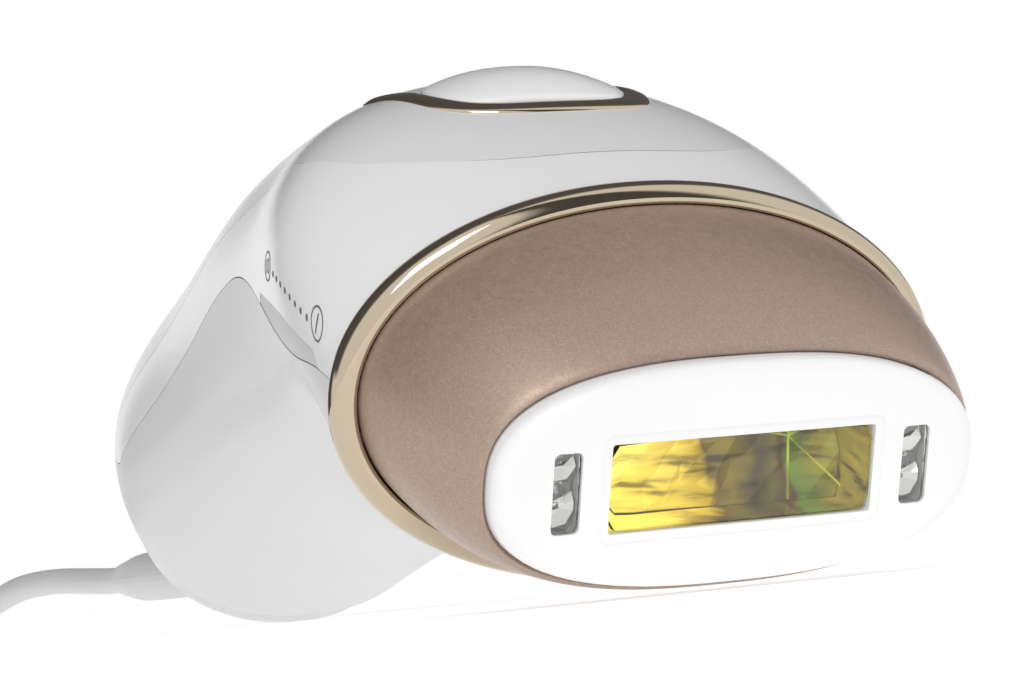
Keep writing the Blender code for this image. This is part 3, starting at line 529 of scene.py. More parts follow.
GRIP_LINE, COVER_LINE = eased(GRIP_SEAM), through(COVER_SEAM)


def vent_line(s):
    """The vent inserts' arched upper edge."""
    return VENT_PEAK - VENT_BOW * (np.asarray(s, float) - VENT_MIDDLE) ** 2


def grip_angle(s):
    """The grip shell's upper edge; it climbs over the handle's back near the end."""
    share = np.clip((np.asarray(s, float) - GRIP_TURN) / (GRIP_BACK - GRIP_TURN), 0, 1)
    return GRIP_LINE(s) * np.sqrt(1 - share * share)


def gap_angle(s, gap=SEAM):
    half_w = np.maximum(BODY(s)[..., 3], 5)
    return np.degrees(gap / 2 / half_w)


def patch(name, grids, look, stands_for, thick=WALL, edge=0.22, lift=0.0):
    """A shell from grids of (s, v) places on the handle, thickened inwards, its edges rounded."""
    bm = bmesh.new()
    for places in grids:
        places = np.asarray(places, float)
        points = world(lifted(places[..., 0], places[..., 1], np.full(places.shape[:2], lift)))
        grid = [[bm.verts.new(Vector(p)) for p in row] for row in points]
        for near, far in zip(grid, grid[1:]):
            for i in range(len(near) - 1):
                bm.faces.new((near[i], near[i + 1], far[i + 1], far[i]))
    bmesh.ops.remove_doubles(bm, verts=bm.verts, dist=2e-6)
    bm.normal_update()
    middle = Vector(world([0, 85, -5]))
    outward = sum((f.calc_center_median() - middle).dot(f.normal) * f.calc_area() for f in bm.faces)
    if outward < 0:
        bmesh.ops.reverse_faces(bm, faces=bm.faces)
    piece = finish_piece(name, bm, look, HANDSET, stands_for)
    wall = piece.modifiers.new("wall", "SOLIDIFY")
    wall.thickness = thick * 0.001
    wall.offset = -1.0
    rounding = piece.modifiers.new("edge", "BEVEL")
    rounding.width = edge * 0.001
    rounding.segments = 3
    rounding.limit_method = "ANGLE"
    rounding.angle_limit = math.radians(50)
    rounding.harden_normals = True
    return piece


def grid_between(first, last, columns):
    """Rows of places running from first[i] to last[i]."""
    share = np.linspace(0, 1, columns)
    first, last = np.asarray(first, float), np.asarray(last, float)
    return first[:, None, :] + (last - first)[:, None, :] * share[None, :, None]


# ---------------------------------------------------------------- outer shells
def cover_front(p):
    return COVER_FRONT + COVER_BEND * abs(p) ** 4 + COVER_TURN * abs(p) ** 36


FRONT_EDGE = -0.06
COVER_CORNER_AT = COVER_FRONT + COVER_BEND + COVER_TURN


def make_grip():
    side, climb = np.linspace(FRONT_EDGE, GRIP_TURN, 130), np.linspace(GRIP_TURN + 0.01, GRIP_BACK, 26)
    low_s = np.concatenate([side, climb])
    low = np.stack([low_s, grip_angle(low_s) + gap_angle(low_s)], axis=-1)
    closed_s = np.linspace(GRIP_BACK, POLE - 0.02, 60)[1:]
    places = [grid_between(low, np.stack([low_s, 360 - low[:, 1]], axis=-1), 150)]
    ends = np.stack([closed_s, np.zeros_like(closed_s)], axis=-1)
    places.append(grid_between(ends, ends + (0, 360), 150))
    patch("grip_shell_visual", [np.concatenate(places)], "grip_white", ["grip_shell"])


def front_lower(s):
    """The front shell's lower edge, above the vent inserts; it steps down at their front ends."""
    s = np.asarray(s, float)
    share = np.clip((s - VENT_FROM + VENT_STEP) / VENT_STEP, 0, 1)
    share = share * share * (3 - 2 * share)
    grip = grip_angle(s)
    edge = grip + (np.minimum(vent_line(s), grip) - grip) * share
    return np.where(s < VENT_TO, edge, grip) - gap_angle(s)


def front_columns():
    """Shares across the cover's front edge, close together at its turned corners."""
    fine = 1 - np.linspace(0, 1, 24) ** 2 * 0.16
    return np.concatenate([-fine, np.linspace(-0.82, 0.82, 61), fine[::-1]])


def make_front():
    """Two side strips from the arms' ends to the ring, and the brow between them before the cover."""
    corner = COVER_CORNER_AT - SEAM / STATION_MM
    corner_v = float(COVER_LINE(COVER_CORNER_AT))
    steps = np.linspace(0, 1, 92)
    arm = np.linspace(ARM_END, corner, 130)
    brow_edge = corner + (FRONT_EDGE - corner) * steps
    at = np.concatenate([arm, brow_edge[1:]])
    inner_v = np.concatenate([COVER_LINE(arm) + gap_angle(arm), np.full(len(steps) - 1, corner_v)])
    inner_v[129] = corner_v
    inner = np.stack([at, inner_v], axis=-1)
    outer = np.stack([at, front_lower(at)], axis=-1)
    left = grid_between(inner, outer, 24)
    right = left[:, ::-1] * np.array([1.0, -1.0])
    shares = front_columns()
    start = np.array([cover_front(share) for share in shares]) - SEAM / STATION_MM
    brow = np.stack([start + (FRONT_EDGE - start) * step for step in steps])
    brow = np.stack([brow, np.broadcast_to(shares * corner_v, brow.shape)], axis=-1)
    patch("front_shell_visual", [left, brow, right], "gloss_white", ["front_shell"])


def make_cover():
    columns = front_columns()
    start = np.array([cover_front(share) for share in columns])
    turn = np.sqrt(1 - (columns * COVER_REAR_V / GRIP_LINE(GRIP_TURN)) ** 2)
    end = GRIP_TURN + (GRIP_BACK - GRIP_TURN) * turn - REAR_GAP
    rows = []
    for q in np.linspace(0, 1, 120):
        at = start + (end - start) * q
        rows.append(np.stack([at, columns * (COVER_LINE(at) - gap_angle(at))], axis=-1))
    return patch("spine_cover_visual", [rows], "cover_white", ["spine_cover"])


def make_vents():
    for side, word in ((1, "left"), (-1, "right")):
        arch, end = np.linspace(VENT_TO - 0.02, VENT_FROM, 70), VENT_FROM - 0.8 * VENT_STEP
        s = np.concatenate([arch, np.linspace(VENT_FROM, end, 9)[1:]])
        high = front_lower(s) + 2 * gap_angle(s)
        low = np.maximum(grip_angle(s) - gap_angle(s), high + 0.05)
        places = grid_between(np.stack([s, side * high], axis=-1), np.stack([s, side * low], axis=-1), 14)
        # The inserts' grey is painted shade of the vent gaps.
        patch(f"vent_insert_{word}_visual", [places], "vent_grey", [f"vent_insert_{word}"], 1.4, 0.15, -0.1)


# ---------------------------------------------------------------- ring, collar, face
def make_ring():
    curve = [
        (0.0, 0.9), (0.0, 0.2), (0.12, -0.5), (0.42, -1.1), (0.9, -1.55), (1.5, -1.85), (2.1, -2.0),
        (2.4, -1.98), (2.6, -1.85), (2.71, -1.6), (RING_WIDE, -1.2), (RING_WIDE, 1.5), (0.2, 1.5),
    ]
    lean = math.radians(RING_TILT)
    loops = []
    for inset, back in curve:
        y, z = RING_Y + back * math.cos(lean), RING_Z + back * math.sin(lean)
        loops.append(oval(y, z, RING_TILT, RING_W - inset, RING_H - inset, RING_POWER, 240))
    finish_piece("trim_ring_visual", loft(loops, closed_run=True), "champagne_chrome", HANDSET,
                 ["trim_ring"])


def collar_loop(share, inset=0.0):
    """The collar's outer surface from its lip at the face (0) to its rear edge at the ring (1)."""
    rear_y, rear_z = RING_Y - 1.7, RING_Z + 0.2
    front_y, front_z = 3.4, FACE_Z
    ease = share ** 0.9
    swell = 0.7 * math.sin(math.pi * share) ** 0.9
    y = front_y + (rear_y - front_y) * share
    z = front_z + (rear_z - front_z) * ease
    half_w = FACE_W + LIP + (RING_W - RING_WIDE - 0.1 - FACE_W - LIP) * ease + swell
    half_h = FACE_H + LIP + (RING_H - RING_WIDE - 0.1 - FACE_H - LIP) * ease + swell
    power = FACE_POWER + (RING_POWER - FACE_POWER) * share
    return oval(y, z, RING_TILT * share, half_w - inset, half_h - inset, power, 200)


def make_collar():
    shares = np.linspace(0, 1, 40)
    outer = [collar_loop(share) for share in shares[1:-1]]
    lip = [collar_loop(0.0, inset) for inset in (LIP - 0.12, 0.45, 0.16)]
    lip[1] = lip[1] + world([0, -0.28, 0]) - world([0, 0, 0])
    lip[2] = lip[2] + world([0, -0.16, 0]) - world([0, 0, 0])
    inner = [collar_loop(share, COLLAR_WALL) for share in np.linspace(0.98, 0.06, 14)]
    rear = [collar_loop(1.0, 0.0), collar_loop(1.0, COLLAR_WALL)]
    bm = loft(lip + outer + rear + inner, closed_run=True)
    finish_piece("head_collar_visual", bm, "taupe_metallic", HEAD, ["head_collar"], 50.0)


def rounded_box(name, size, middle, radius, segments=4):
    """A cutter: a box of the head frame whose edges along Y are rounded."""
    bm = bmesh.new()
    bmesh.ops.create_cube(bm, size=1.0)
    bmesh.ops.scale(bm, vec=Vector(size) * 0.001, verts=bm.verts)
    along = [e for e in bm.edges if abs((e.verts[0].co - e.verts[1].co).normalized().y) > 0.9]
    bmesh.ops.bevel(bm, geom=along, offset=radius * 0.001, segments=segments, profile=0.5, affect="EDGES")
    bm.transform(HEAD_PLACE @ Matrix.Translation(Vector(middle) * 0.001))
    data = bpy.data.meshes.new(name)
    bm.to_mesh(data)
    bm.free()
    cutter = bpy.data.objects.new(name, data)
    scene.collection.objects.link(cutter)
    return cutter


def cut(piece, cutter):
    """Cuts the piece now, so that no cutter stays in the scene."""
    knife = piece.modifiers.new("cut", "BOOLEAN")
    knife.object = cutter
    knife.solver = "EXACT"
    bpy.context.view_layer.update()
    graph = bpy.context.evaluated_depsgraph_get()
    shape = bpy.data.meshes.new_from_object(piece.evaluated_get(graph))
    piece.modifiers.clear()
    piece.data = shape
    bpy.data.objects.remove(cutter, do_unlink=True)


def soften(piece, width, segments=3, angle=40.0):
    rounding = piece.modifiers.new("edge", "BEVEL")
    rounding.width = width * 0.001
    rounding.segments = segments
    rounding.limit_method = "ANGLE"
    rounding.angle_limit = math.radians(angle)
    rounding.harden_normals = True


def make_face():
    loops = []
    for turn in (90, 78, 66, 54, 42, 30, 18, 6, 0):
        angle = math.radians(turn)
        inset, y = FACE_ROUND * (1 - math.cos(angle)), FACE_ROUND * (1 - math.sin(angle))
        loops.append(oval(y, FACE_Z, 0.0, FACE_W - inset, FACE_H - inset, FACE_POWER))
    loops.append(oval(FACE_DEEP + 2.0, FACE_Z, 0.0, FACE_W, FACE_H, FACE_POWER))
    bm = solid(loops)
    face = finish_piece("head_face_visual", bm, "face_white", HEAD, ["head_face"], 30.0)
    cut(face, rounded_box("frame_cut", (WINDOW_W + 2.4, 0.36, WINDOW_H + 2.4), (0, 0, 0), 1.2))
    cut(face, rounded_box("window_cut", (WINDOW_W, 14, WINDOW_H), (0, 1, 0), 0.4))
    for side in (-1, 1):
        cut(face, rounded_box("sensor_cut", (SENSOR_W, 14, SENSOR_H), (side * SENSOR_X, 1, 0), 0.75))
    for polygon in face.data.polygons:
        polygon.use_smooth = True
    soften(face, 0.2, 3, 60)
    face.modifiers["edge"].harden_normals = False
    even = face.modifiers.new("normals", "WEIGHTED_NORMAL")
    even.weight = 100
    even.keep_sharp = False


# ---------------------------------------------------------------- what shows through the windows
TRAY_FROM, TRAY_TO = 1.75, 9.0
TRAY_W, TRAY_H = WINDOW_W / 2 - 0.3, WINDOW_H / 2 - 0.3
LENS_W, LENS_H = SENSOR_W / 2 - 0.08, SENSOR_H / 2 - 0.08
PANE_POWER = 14
STAR_AT = (10.8, 1.4)
STAR_RAYS = [(17.7, 3.6), (17.7, -3.9), (11.4, 4.9), (5.0, 2.4), (10.9, -4.9)]


def ripple(i, j):
    """A repeatable value from -1 to 1 for a facet's corner."""
    return math.sin(i * 12.9898 + j * 78.233 + i * j * 3.71)


def local_piece(name, bm, look, stands_for=(), smooth=1.0):
    """A piece on the head whose mesh stays in head-frame metres."""
    piece = finish_piece(name, bm, look, HEAD, stands_for, smooth)
    piece.matrix_world = HEAD_PLACE
    return piece


def facet_plate(name, half_w, half_h, y, swing, cells, look, at_x=0.0, stands_for=(), thick=0.35):
    """A closed plate whose front is a field of small tilted facets."""
    across, tall = cells
    bm = bmesh.new()
    layers = []
    for depth in (0.0, thick + swing):
        rows = []
        for j in range(tall + 1):
            row = []
            for i in range(across + 1):
                dent = swing * ripple(i, j) if depth == 0.0 else 0.0
                inner_x, inner_z = 0 < i < across, 0 < j < tall
                x = half_w * (2 * i / across - 1 + (0.5 / across * ripple(j, i + 5) if inner_x else 0))
                z = half_h * (2 * j / tall - 1 + (0.5 / tall * ripple(i + 3, j) if inner_z else 0))
                row.append(bm.verts.new(Vector((at_x + x, y + dent + depth, z)) * 0.001))
            rows.append(row)
        layers.append(rows)
    front, back = layers
    for rows in layers:
        for j in range(tall):
            for i in range(across):
                corners = (rows[j][i], rows[j][i + 1], rows[j + 1][i + 1], rows[j + 1][i])
                bm.faces.new(corners[:3])
                bm.faces.new((corners[0], corners[2], corners[3]))
    rim = [(j, 0) for j in range(tall)] + [(tall, i) for i in range(across)]
    rim += [(j, across) for j in range(tall, 0, -1)] + [(0, i) for i in range(across, 0, -1)]
    for (j, i), (l, k) in zip(rim, rim[1:] + rim[:1]):
        bm.faces.new((front[j][i], front[l][k], back[l][k], back[j][i]))
    bmesh.ops.recalc_face_normals(bm, faces=bm.faces)
    return local_piece(name, bm, look, stands_for)


def tray_walls():
    """The liner from the glass back to the facets, open at both ends; its material paints a glow and a
    reflection on it.
    """
    loops = []
    for grow, y in ((0.0, TRAY_FROM), (0.0, TRAY_TO), (0.12, TRAY_TO), (0.12, TRAY_FROM)):
        w, h = TRAY_W + grow, TRAY_H + grow
        loops.append([Vector((x, y, z)) * 0.001 for x, z in ((-w, -h), (w, -h), (w, h), (-w, h))])
    return local_piece("window_liner", loft(loops, closed_run=True), "optics_painted_glow")


def star_ray(index, end):
    """One raised seam of the reflector, running out from the star's middle; its material paints it as a
    self-lit green line of reflected light.
    """
    start, end = Vector(STAR_AT), Vector(end)
    side = (end - start).normalized().orthogonal() * 0.13
    y, top = TRAY_TO - 0.55, TRAY_TO - 0.95
    base = [start - side * 0.5, start + side * 0.5, end + side, end - side]
    bm = bmesh.new()
    low = [bm.verts.new(Vector((p.x, y, p.y)) * 0.001) for p in base]
    ridge = [bm.verts.new(Vector((p.x, top, p.y)) * 0.001) for p in (start, end)]
    bm.faces.new((low[0], low[1], ridge[0]))
    bm.faces.new((low[2], low[3], ridge[1]))
    bm.faces.new((low[1], low[2], ridge[1], ridge[0]))
    bm.faces.new((low[3], low[0], ridge[0], ridge[1]))
    bm.faces.new(low)
    bmesh.ops.recalc_face_normals(bm, faces=bm.faces)
    local_piece(f"reflector_seam_{index + 1}", bm, "seam_green_painted_glow")


def pane(name, half_w, half_h, front, back, node, at_x=0.0):
    """A clear pane with a softened front edge."""
    loops = []
    for inset, y in ((0.14, front), (0.04, front + 0.05), (0.0, front + 0.16), (0.0, back)):
        w, h = half_w - inset, half_h - inset
        x, z = superellipse(w, h, PANE_POWER, 64)
        loops.append([Vector((at_x + a, y, b)) * 0.001 for a, b in zip(x, z)])
    local_piece(name, solid(loops), "window_clear", [node], 40.0)


def make_windows():
    pane("window_glass_visual", WINDOW_W / 2 - 0.06, WINDOW_H / 2 - 0.06, 0.62, 1.6, "window_glass")
    tray_walls()
    # The facets carry the same painted glow and painted reflection as the liner.
    facet_plate("window_facets", TRAY_W, TRAY_H, TRAY_TO + 0.5, 0.42, (15, 5), "optics_painted_glow")
    for index, end in enumerate(STAR_RAYS):
        star_ray(index, end)
    for side, word in ((-1, "left"), (1, "right")):
        x = side * SENSOR_X
        pane(f"sensor_window_{word}_visual", LENS_W, LENS_H, 0.32, 1.5, f"sensor_window_{word}", x)
        facet_plate(f"sensor_chip_{word}_visual", LENS_W - 0.1, LENS_H - 0.1, 2.6, 0.55, (3, 9),
                    "sensor_mirror", x, [f"sensor_chip_{word}"])


# ---------------------------------------------------------------- buttons
def top_places(x, s):
    """The v angle of the upper surface above a lateral place x at station s."""
    row = BODY(s)
    half_w, half_h = row[..., 3], row[..., 4]
    share = np.clip(1 - np.abs(x / half_w) ** BODY_POWER, 0, 1) ** (1 / BODY_POWER)
    return np.degrees(np.arctan2(-x, share * half_h))


def on_top(x, s, lift):
    x, s, lift = np.broadcast_arrays(*(np.asarray(a, float) for a in (x, s, lift)))
    return lifted(s, top_places(x, s), lift)


def pad_outline(half_w, half_long, count=120, power=2.6):
    angle = np.linspace(0, 2 * np.pi, count, endpoint=False)
    x, s = np.cos(angle), np.sin(angle)
    reach = (np.abs(x) ** power + np.abs(s) ** power) ** (-1 / power)
    return half_w * reach * x, half_long * reach * s


def pad_loops(half_w, half_long, middle, shares):
    x, s = pad_outline(half_w, half_long)
    return [world(on_top(share * x, middle + share * s, lift)) for share, lift in shares]


def make_pad(name, half_w, half_long, middle, rise, body, node):
    shares = [(0.15, -2.4), (0.6, -2.4), (1.0, -2.4), (1.0, -0.3), (0.997, -0.08), (0.985, 0.12)]
    dome = (0.93, 0.86, 0.78, 0.68, 0.56, 0.42, 0.26, 0.1)
    shares += [(q, 0.2 + (rise - 0.2) * (1 - q ** 2)) for q in dome]
    bm = solid(pad_loops(half_w, half_long, middle, shares))
    finish_piece(name, bm, "gloss_white", body, [node])


def pad_hole(cover, half_w, half_long, middle, clear_mm):
    shares = [(1.0, -6.0), (1.0, 6.0)]
    bm = solid(pad_loops(half_w + clear_mm, half_long + clear_mm / STATION_MM, middle, shares))
    data = bpy.data.meshes.new("hole")
    bm.to_mesh(data)
    bm.free()
    cutter = bpy.data.objects.new("hole", data)
    scene.collection.objects.link(cutter)
    cut(cover, cutter)


TRIM_OUTER = [
    (0, 0.605), (7.5, 0.625), (13.0, 0.70), (16.0, 0.84),
    (17.3, 1.03), (18.1, 1.24), (18.5, 1.42), (18.2, 1.60),
]
TRIM_INNER = [
    (0, 0.728), (5.5, 0.735), (10.3, 0.79), (13.0, 0.91),
    (14.35, 1.06), (14.9, 1.25), (16.0, 1.43), (17.6, 1.60),
]
TRIM_SECTION = [
    (0.0, -0.6), (0.0, -0.02), (0.03, 0.16), (0.10, 0.34), (0.22, 0.46),
    (0.5, 0.50), (0.8, 0.40), (0.95, 0.22), (1.0, 0.05), (1.0, -0.6),
]


def make_trim():
    """The bright horseshoe round the button's front; its two tails run back and thin out."""
    edges = []
    for table in (TRIM_OUTER, TRIM_INNER):
        mirrored = [(-x, s) for x, s in table[:0:-1]]
        line = natural_spline(mirrored + table)
        edges.append(line(np.linspace(0, 2 * (len(table) - 1), 140)))
    loops = []
    for far, near in zip(*edges):
        places = np.array([far + (near - far) * share for share, _ in TRIM_SECTION])
        thin = min(1.0, np.linalg.norm((far - near) * (1, 26)) / 2.0)
        lift = np.array([height if height < 0 else height * thin for _, height in TRIM_SECTION])
        loops.append(world(on_top(places[:, 0], places[:, 1], lift)))
    finish_piece("button_trim_visual", solid(loops), "champagne_chrome", HANDSET,
                 ["button_trim"])


# ---------------------------------------------------------------- printed scale
MARK_LIFT = 0.035
TEN_AT, ONE_AT = (1.25, 83.5), (0.28, 83.5)
DOTS_FROM, DOTS_STEP, DOTS_V, DOTS_BOW = 1.07, 0.094, 86.0, 1.0
MARK_R, DOT_R, STROKE = 2.05, 0.42, 0.26
DOTS, TEN_SIZE, ONE_SIZE = 8, 3.0, 3.7
CUT_STEP, CUT_FROM = 0.33, 0.05


def mark_frame(at):
    """A function from flat millimetres round a place on the handle to (s, v) places."""
    s, v = at
    along = (surface(s + 0.02, v) - surface(s - 0.02, v)) / 0.04
    around = (surface(s, v + 1) - surface(s, v - 1)) / 2
    long, wide = np.linalg.norm(along), np.linalg.norm(around)

    def read(points):
        points = np.asarray(points, float)
        return s - points[:, 0] / long, v - points[:, 1] / wide

    return read


def flat_mark(name, bm, at):
    """Lays flat faces (x forward, y up on the side, millimetres) onto the handle as thin print."""
    points = np.array([(vert.co.x, vert.co.y) for vert in bm.verts])
    s, v = mark_frame(at)(points)
    laid = world(lifted(s, v, np.full(len(s), MARK_LIFT)))
    for vert, place in zip(bm.verts, laid):
        vert.co = place
    bm.normal_update()
    middle = Vector(world(surface(*at) + normals(np.array(at[0]), np.array(at[1])) * 5))
    if sum((middle - f.calc_center_median()).dot(f.normal) for f in bm.faces) < 0:
        bmesh.ops.reverse_faces(bm, faces=bm.faces)
    finish_piece(name, bm, "print_grey", HANDSET)


def ring_faces(outer, inner, count=48):
    """A flat ring about zero."""
    bm = bmesh.new()
    angle = [2 * math.pi * i / count for i in range(count)]
    far = [bm.verts.new((outer * math.cos(a), outer * math.sin(a), 0)) for a in angle]
    near = [bm.verts.new((inner * math.cos(a), inner * math.sin(a), 0)) for a in angle]
    for i in range(count):
        j = (i + 1) % count
        bm.faces.new((far[i], far[j], near[j], near[i]))
    return bm


def number_faces(text, size):
    """Flat faces of a number, centred, cut small so that they follow the handle's curve."""
    curve = bpy.data.curves.new("number", "FONT")
    curve.body = text
    curve.size = size
    curve.align_x, curve.align_y = "CENTER", "CENTER"
    made = bpy.data.objects.new("number", curve)
    scene.collection.objects.link(made)
    bpy.context.view_layer.update()
    shape = bpy.data.meshes.new_from_object(made.evaluated_get(bpy.context.evaluated_depsgraph_get()))
    bpy.data.objects.remove(made, do_unlink=True)
    bm = bmesh.new()
    bm.from_mesh(shape)
    xs = [vert.co.x for vert in bm.verts]
    ys = [vert.co.y for vert in bm.verts]
    centre = Vector(((min(xs) + max(xs)) / 2, (min(ys) + max(ys)) / 2, 0))
    bmesh.ops.translate(bm, vec=-centre, verts=bm.verts)
    for axis in (Vector((1, 0, 0)), Vector((0, 1, 0))):
        for step in range(-6, 7):
            everything = bm.verts[:] + bm.edges[:] + bm.faces[:]
            place = axis * (step * CUT_STEP + CUT_FROM)
            bmesh.ops.bisect_plane(bm, geom=everything, plane_co=place, plane_no=axis)
    return bm


def make_scale():
    for name, at, text, size in (("scale_ten", TEN_AT, "10", TEN_SIZE), ("scale_one", ONE_AT, "1", ONE_SIZE)):
        flat_mark(name + "_circle", ring_faces(MARK_R, MARK_R - STROKE), at)
        flat_mark(name + "_number", number_faces(text, size), at)
    middle = (DOTS - 1) / 2
    for i in range(DOTS):
        at = (DOTS_FROM - DOTS_STEP * i, DOTS_V - DOTS_BOW * ((i - middle) / middle) ** 2)
        bm = bmesh.new()
        bmesh.ops.create_circle(bm, cap_ends=True, segments=20, radius=DOT_R)
        flat_mark(f"scale_dot_{i + 1}", bm, at)


# ---------------------------------------------------------------- cord
def smooth_row(rows, at):
    """A Catmull-Rom curve through rows of numbers, one row a unit apart."""
    last = len(rows) - 1
    at = min(max(at, 0.0), last - 1e-9)
    i = int(at)
    f = at - i
    p1, p2 = np.array(rows[i]), np.array(rows[i + 1])
    p0 = np.array(rows[i - 1]) if i > 0 else 2 * p1 - p2
    p3 = np.array(rows[i + 2]) if i + 2 <= last else 2 * p2 - p1
    return 0.5 * (2 * p1 + (p2 - p0) * f + (2 * p0 - 5 * p1 + 4 * p2 - p3) * f ** 2
                  + (3 * p1 - p0 - 3 * p2 + p3) * f ** 3)


TURN_GAP = 4.72
COIL_R = [33.9, 33.9 - TURN_GAP, 33.9 - 2 * TURN_GAP]
LAST_TURN = 100.0
SHIFT_FROM = 285.0


def ease(f):
    f = min(max(f, 0.0), 1.0)
    return f * f * (3 - 2 * f)


def coil_points():
    """Three layers of three turns; each turn moves over to the next one's place in its last part."""
    spots = []
    for layer in range(3):
        order = COIL_R if layer % 2 == 0 else COIL_R[::-1]
        spots += [(r, COIL_LOW + CORD_D / 2 + layer * TURN_GAP) for r in order]
    points = []
    for turn, (radius, z) in enumerate(spots):
        last = turn == len(spots) - 1
        for degree in range(0, 360, 8):
            if last and degree > LAST_TURN:
                break
            r, up = radius, z
            if not last and degree > SHIFT_FROM:
                share = ease((degree - SHIFT_FROM) / (360.0 - SHIFT_FROM))
                r += (spots[turn + 1][0] - radius) * share
                up += (spots[turn + 1][1] - z) * share
            angle = math.radians(degree)
            points.append((COIL_X + r * math.cos(angle), COIL_Y + r * math.sin(angle), up))
    radius, z = spots[-1]
    top = z + TURN_GAP + 0.1
    for degree in range(int(LAST_TURN) + 6, 175, 6):
        share = (degree - LAST_TURN) / (175 - LAST_TURN)
        rise, out = ease(share * 2.6), ease((share - 0.12) / 0.88)
        r = radius + (35.0 - radius) * out
        angle = math.radians(degree)
        points.append((COIL_X + r * math.cos(angle), COIL_Y + r * math.sin(angle), z + (top - z) * rise))
    return points


ADAPTER = (36.0, 60.0, 28.0)
ADAPTER_AT = (-70.0, 175.0, 14.2)
CASE_ROUND, CASE_POWER, GROOVE_AT, GROOVE_WIDE, GROOVE_DEEP = 2.6, 7.0, 14.0, 0.7, 0.45


def make_adapter():
    """The mains adapter's rounded case with the parting groove round it."""
    half = ADAPTER[1] / 2
    rows = []
    for turn in (90, 70, 50, 30, 15, 0):
        angle = math.radians(turn)
        rows.append((CASE_ROUND * (1 - math.cos(angle)), -half + CASE_ROUND * (1 - math.sin(angle))))
    edge = GROOVE_WIDE / 2
    groove = [(0.0, -edge - 0.15), (0.15, -edge), (GROOVE_DEEP, -edge + 0.05), (GROOVE_DEEP, edge - 0.05),
              (0.15, edge), (0.0, edge + 0.15)]
    rows += [(0.0, y) for y in np.linspace(-half + CASE_ROUND + 1, GROOVE_AT - 1.5, 14)]
    rows += [(inset, GROOVE_AT + y) for inset, y in groove]
    rows += [(0.0, y) for y in np.linspace(GROOVE_AT + 1.5, half - CASE_ROUND - 1, 4)]
    rows += [(inset, -y) for inset, y in rows[5::-1]]
    loops = []
    for inset, y in rows:
        x, z = superellipse(ADAPTER[0] / 2 - inset, ADAPTER[2] / 2 - inset, CASE_POWER, 120)
        loops.append([(Vector(ADAPTER_AT) + Vector((a, y, b))) * 0.001 for a, b in zip(x, z)])
    case = finish_piece("adapter_case_visual", solid(loops), "adapter_white", HANDSET,
                        ["adapter_case"], 45.0)
    for name, width in (("adapter_pin_left", 0.7), ("adapter_pin_right", 0.7), ("adapter_relief", 0.5),
                        ("cord_tie", 0.5), ("strain_relief", 0.3)):
        soften(frame["nodes"][name], width, 3, 40)
    return case


def make_cord():
    start = [tuple(smooth_row(ROUTE, i * 0.25)) for i in range(4 * (len(ROUTE) - 1) + 1)]
    coil = coil_points()
    bridge = [start[-1], (COIL_X + 34.1, 252.5, 3.5)] + coil[0:2]
    middle = [tuple(smooth_row(bridge, 0.25 * i)) for i in range(1, 8)]
    tail = [tuple(smooth_row(TAIL, 0.34 * i)) for i in range(int((len(TAIL) - 1) / 0.34) + 1)] + [TAIL[-1]]
    run = start + middle + coil[1:] + tail
    curve = bpy.data.curves.new("cord", "CURVE")
    curve.dimensions = "3D"
    curve.bevel_depth = CORD_D / 2 * 0.001
    curve.bevel_resolution = 5
    curve.use_fill_caps = True
    spline = curve.splines.new("POLY")
    spline.points.add(len(run) - 1)
    for point, place in zip(spline.points, run):
        point.co = (*(Vector(place) * 0.001), 1.0)
    spline.use_smooth = True
    curve.materials.append(LOOKS["cord_grey_white"])
    cord = bpy.data.objects.new("cord_visual", curve)
    scene.collection.objects.link(cord)
    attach(cord, HANDSET)
    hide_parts("power_cord", "cord_coil", "adapter_cord")
    nodes = frame["nodes"]
    on_cord = [nodes[n] for n in ("strain_relief", "cord_tie", "adapter_relief", "adapter_pin_left",
                                  "adapter_pin_right")]
    on_cord.append(make_adapter())


dress_frame()
make_cord()
make_grip()
make_front()
spine = make_cover()
for half_w, half_long, middle in ((BUTTON_W, BUTTON_LONG, BUTTON_S), (POWER_W, POWER_LONG, POWER_S)):
    pad_hole(spine, half_w, half_long, middle, 0.3)
make_vents()
make_ring()
make_collar()
make_face()
make_windows()
make_pad("flash_button_visual", BUTTON_W, BUTTON_LONG, BUTTON_S, BUTTON_RISE, "flash_button", "flash_button")
make_pad("power_button_visual", POWER_W, POWER_LONG, POWER_S, 0.7, "power_button", "power_button")
make_trim()
make_scale()


# ---------------------------------------------------------------- stage and light
def stage_plane(name, size, place, look):
    bm = bmesh.new()
    bmesh.ops.create_grid(bm, x_segments=1, y_segments=1, size=size / 2)
    data = bpy.data.meshes.new(name)
    bm.to_mesh(data)
    bm.free()
    data.materials.append(look)
    plane = bpy.data.objects.new(name, data)
    plane.matrix_world = place
    scene.collection.objects.link(plane)


def area_light(name, place, target, size, watts):
    data = bpy.data.lights.new(name, "AREA")
    data.shape = "RECTANGLE"
    data.size, data.size_y = size
    data.energy = watts
    light = bpy.data.objects.new(name, data)
    light.location = place
    light.rotation_euler = (Vector(target) - Vector(place)).to_track_quat("-Z", "Y").to_euler()
    scene.collection.objects.link(light)


LOW_BAND = [(0.59, 1.0), (0.65, 0.0)]
OVERHEAD = [(0.0, 1.0), (0.66, 1.0), (0.76, 0.14), (1.0, 0.10)]
AROUND = [
    (0.0, 1.0), (0.29, 1.0), (0.305, 0.10), (0.345, 0.10), (0.36, 1.0),
    (0.755, 1.0), (0.78, 0.10), (0.85, 0.10), (0.875, 1.0),
]
BACK_SLOPE = (0.0, 0.86, 0.51)


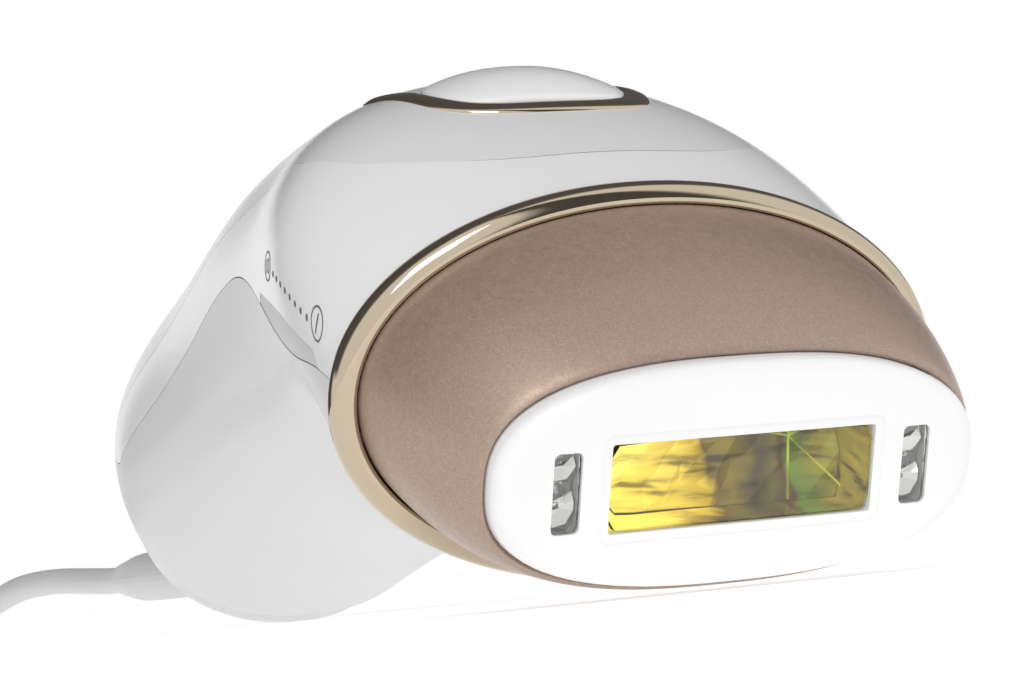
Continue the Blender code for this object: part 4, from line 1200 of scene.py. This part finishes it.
def make_dome():
    """A studio dome: white to the camera; for the rest dark above and behind, with two dark bands."""
    dome = bpy.data.worlds.new("studio")
    dome.use_nodes = True
    tree = dome.node_tree

    def math_node(operation, *sources):
        made = tree.nodes.new("ShaderNodeMath")
        made.operation = operation
        for source, target in zip(sources, made.inputs):
            if isinstance(source, float):
                target.default_value = source
            else:
                tree.links.new(source, target)
        return made.outputs[0]

    def levels(source, stops):
        made = tree.nodes.new("ShaderNodeValToRGB")
        while len(made.color_ramp.elements) < len(stops):
            made.color_ramp.elements.new(0.5)
        for element, (at, level) in zip(made.color_ramp.elements, stops):
            element.position = at
            element.color = (level, level, level, 1.0)
        tree.links.new(source, made.inputs["Fac"])
        return made.outputs["Color"]

    def half(source):
        return math_node("MULTIPLY_ADD", source, 0.5, 0.5)

    direction = tree.nodes.new("ShaderNodeTexCoord").outputs["Generated"]
    apart = tree.nodes.new("ShaderNodeSeparateXYZ")
    tree.links.new(direction, apart.inputs["Vector"])
    slope = tree.nodes.new("ShaderNodeVectorMath")
    slope.operation = "DOT_PRODUCT"
    slope.inputs[1].default_value = BACK_SLOPE
    tree.links.new(direction, slope.inputs[0])
    turn = math_node("ARCTAN2", apart.outputs["Y"], apart.outputs["X"])
    turn = math_node("MULTIPLY_ADD", turn, 1 / (2 * math.pi), 0.5)
    level = math_node("MAXIMUM", levels(half(apart.outputs["Z"]), LOW_BAND),
                      levels(half(slope.outputs["Value"]), OVERHEAD))
    level = math_node("MINIMUM", level, levels(turn, AROUND))
    seen = tree.nodes.new("ShaderNodeLightPath").outputs["Is Camera Ray"]
    tree.links.new(math_node("MAXIMUM", level, seen), tree.nodes["Background"].inputs["Color"])
    scene.world = dome


def make_stage():
    """A self-lit pale floor under the dome, with one soft light from the front left."""
    look = Look("stage_white", Roughness=0.9, Emission_Strength=0.62)
    look.shader.inputs["Emission Color"].default_value = (1, 1, 1, 1)
    look.colour(look.ramp(look.noise(3.0), [(0.3, (0.64, 0.64, 0.64)), (0.7, (0.66, 0.66, 0.66))]))
    stage_plane("floor", FLOOR_SIZE, Matrix.Identity(4), look.material)
    make_dome()
    area_light("key", KEY_AT, KEY_AIM, KEY_SIZE, KEY_WATTS)
    scene.view_settings.view_transform = "Standard"


make_stage()
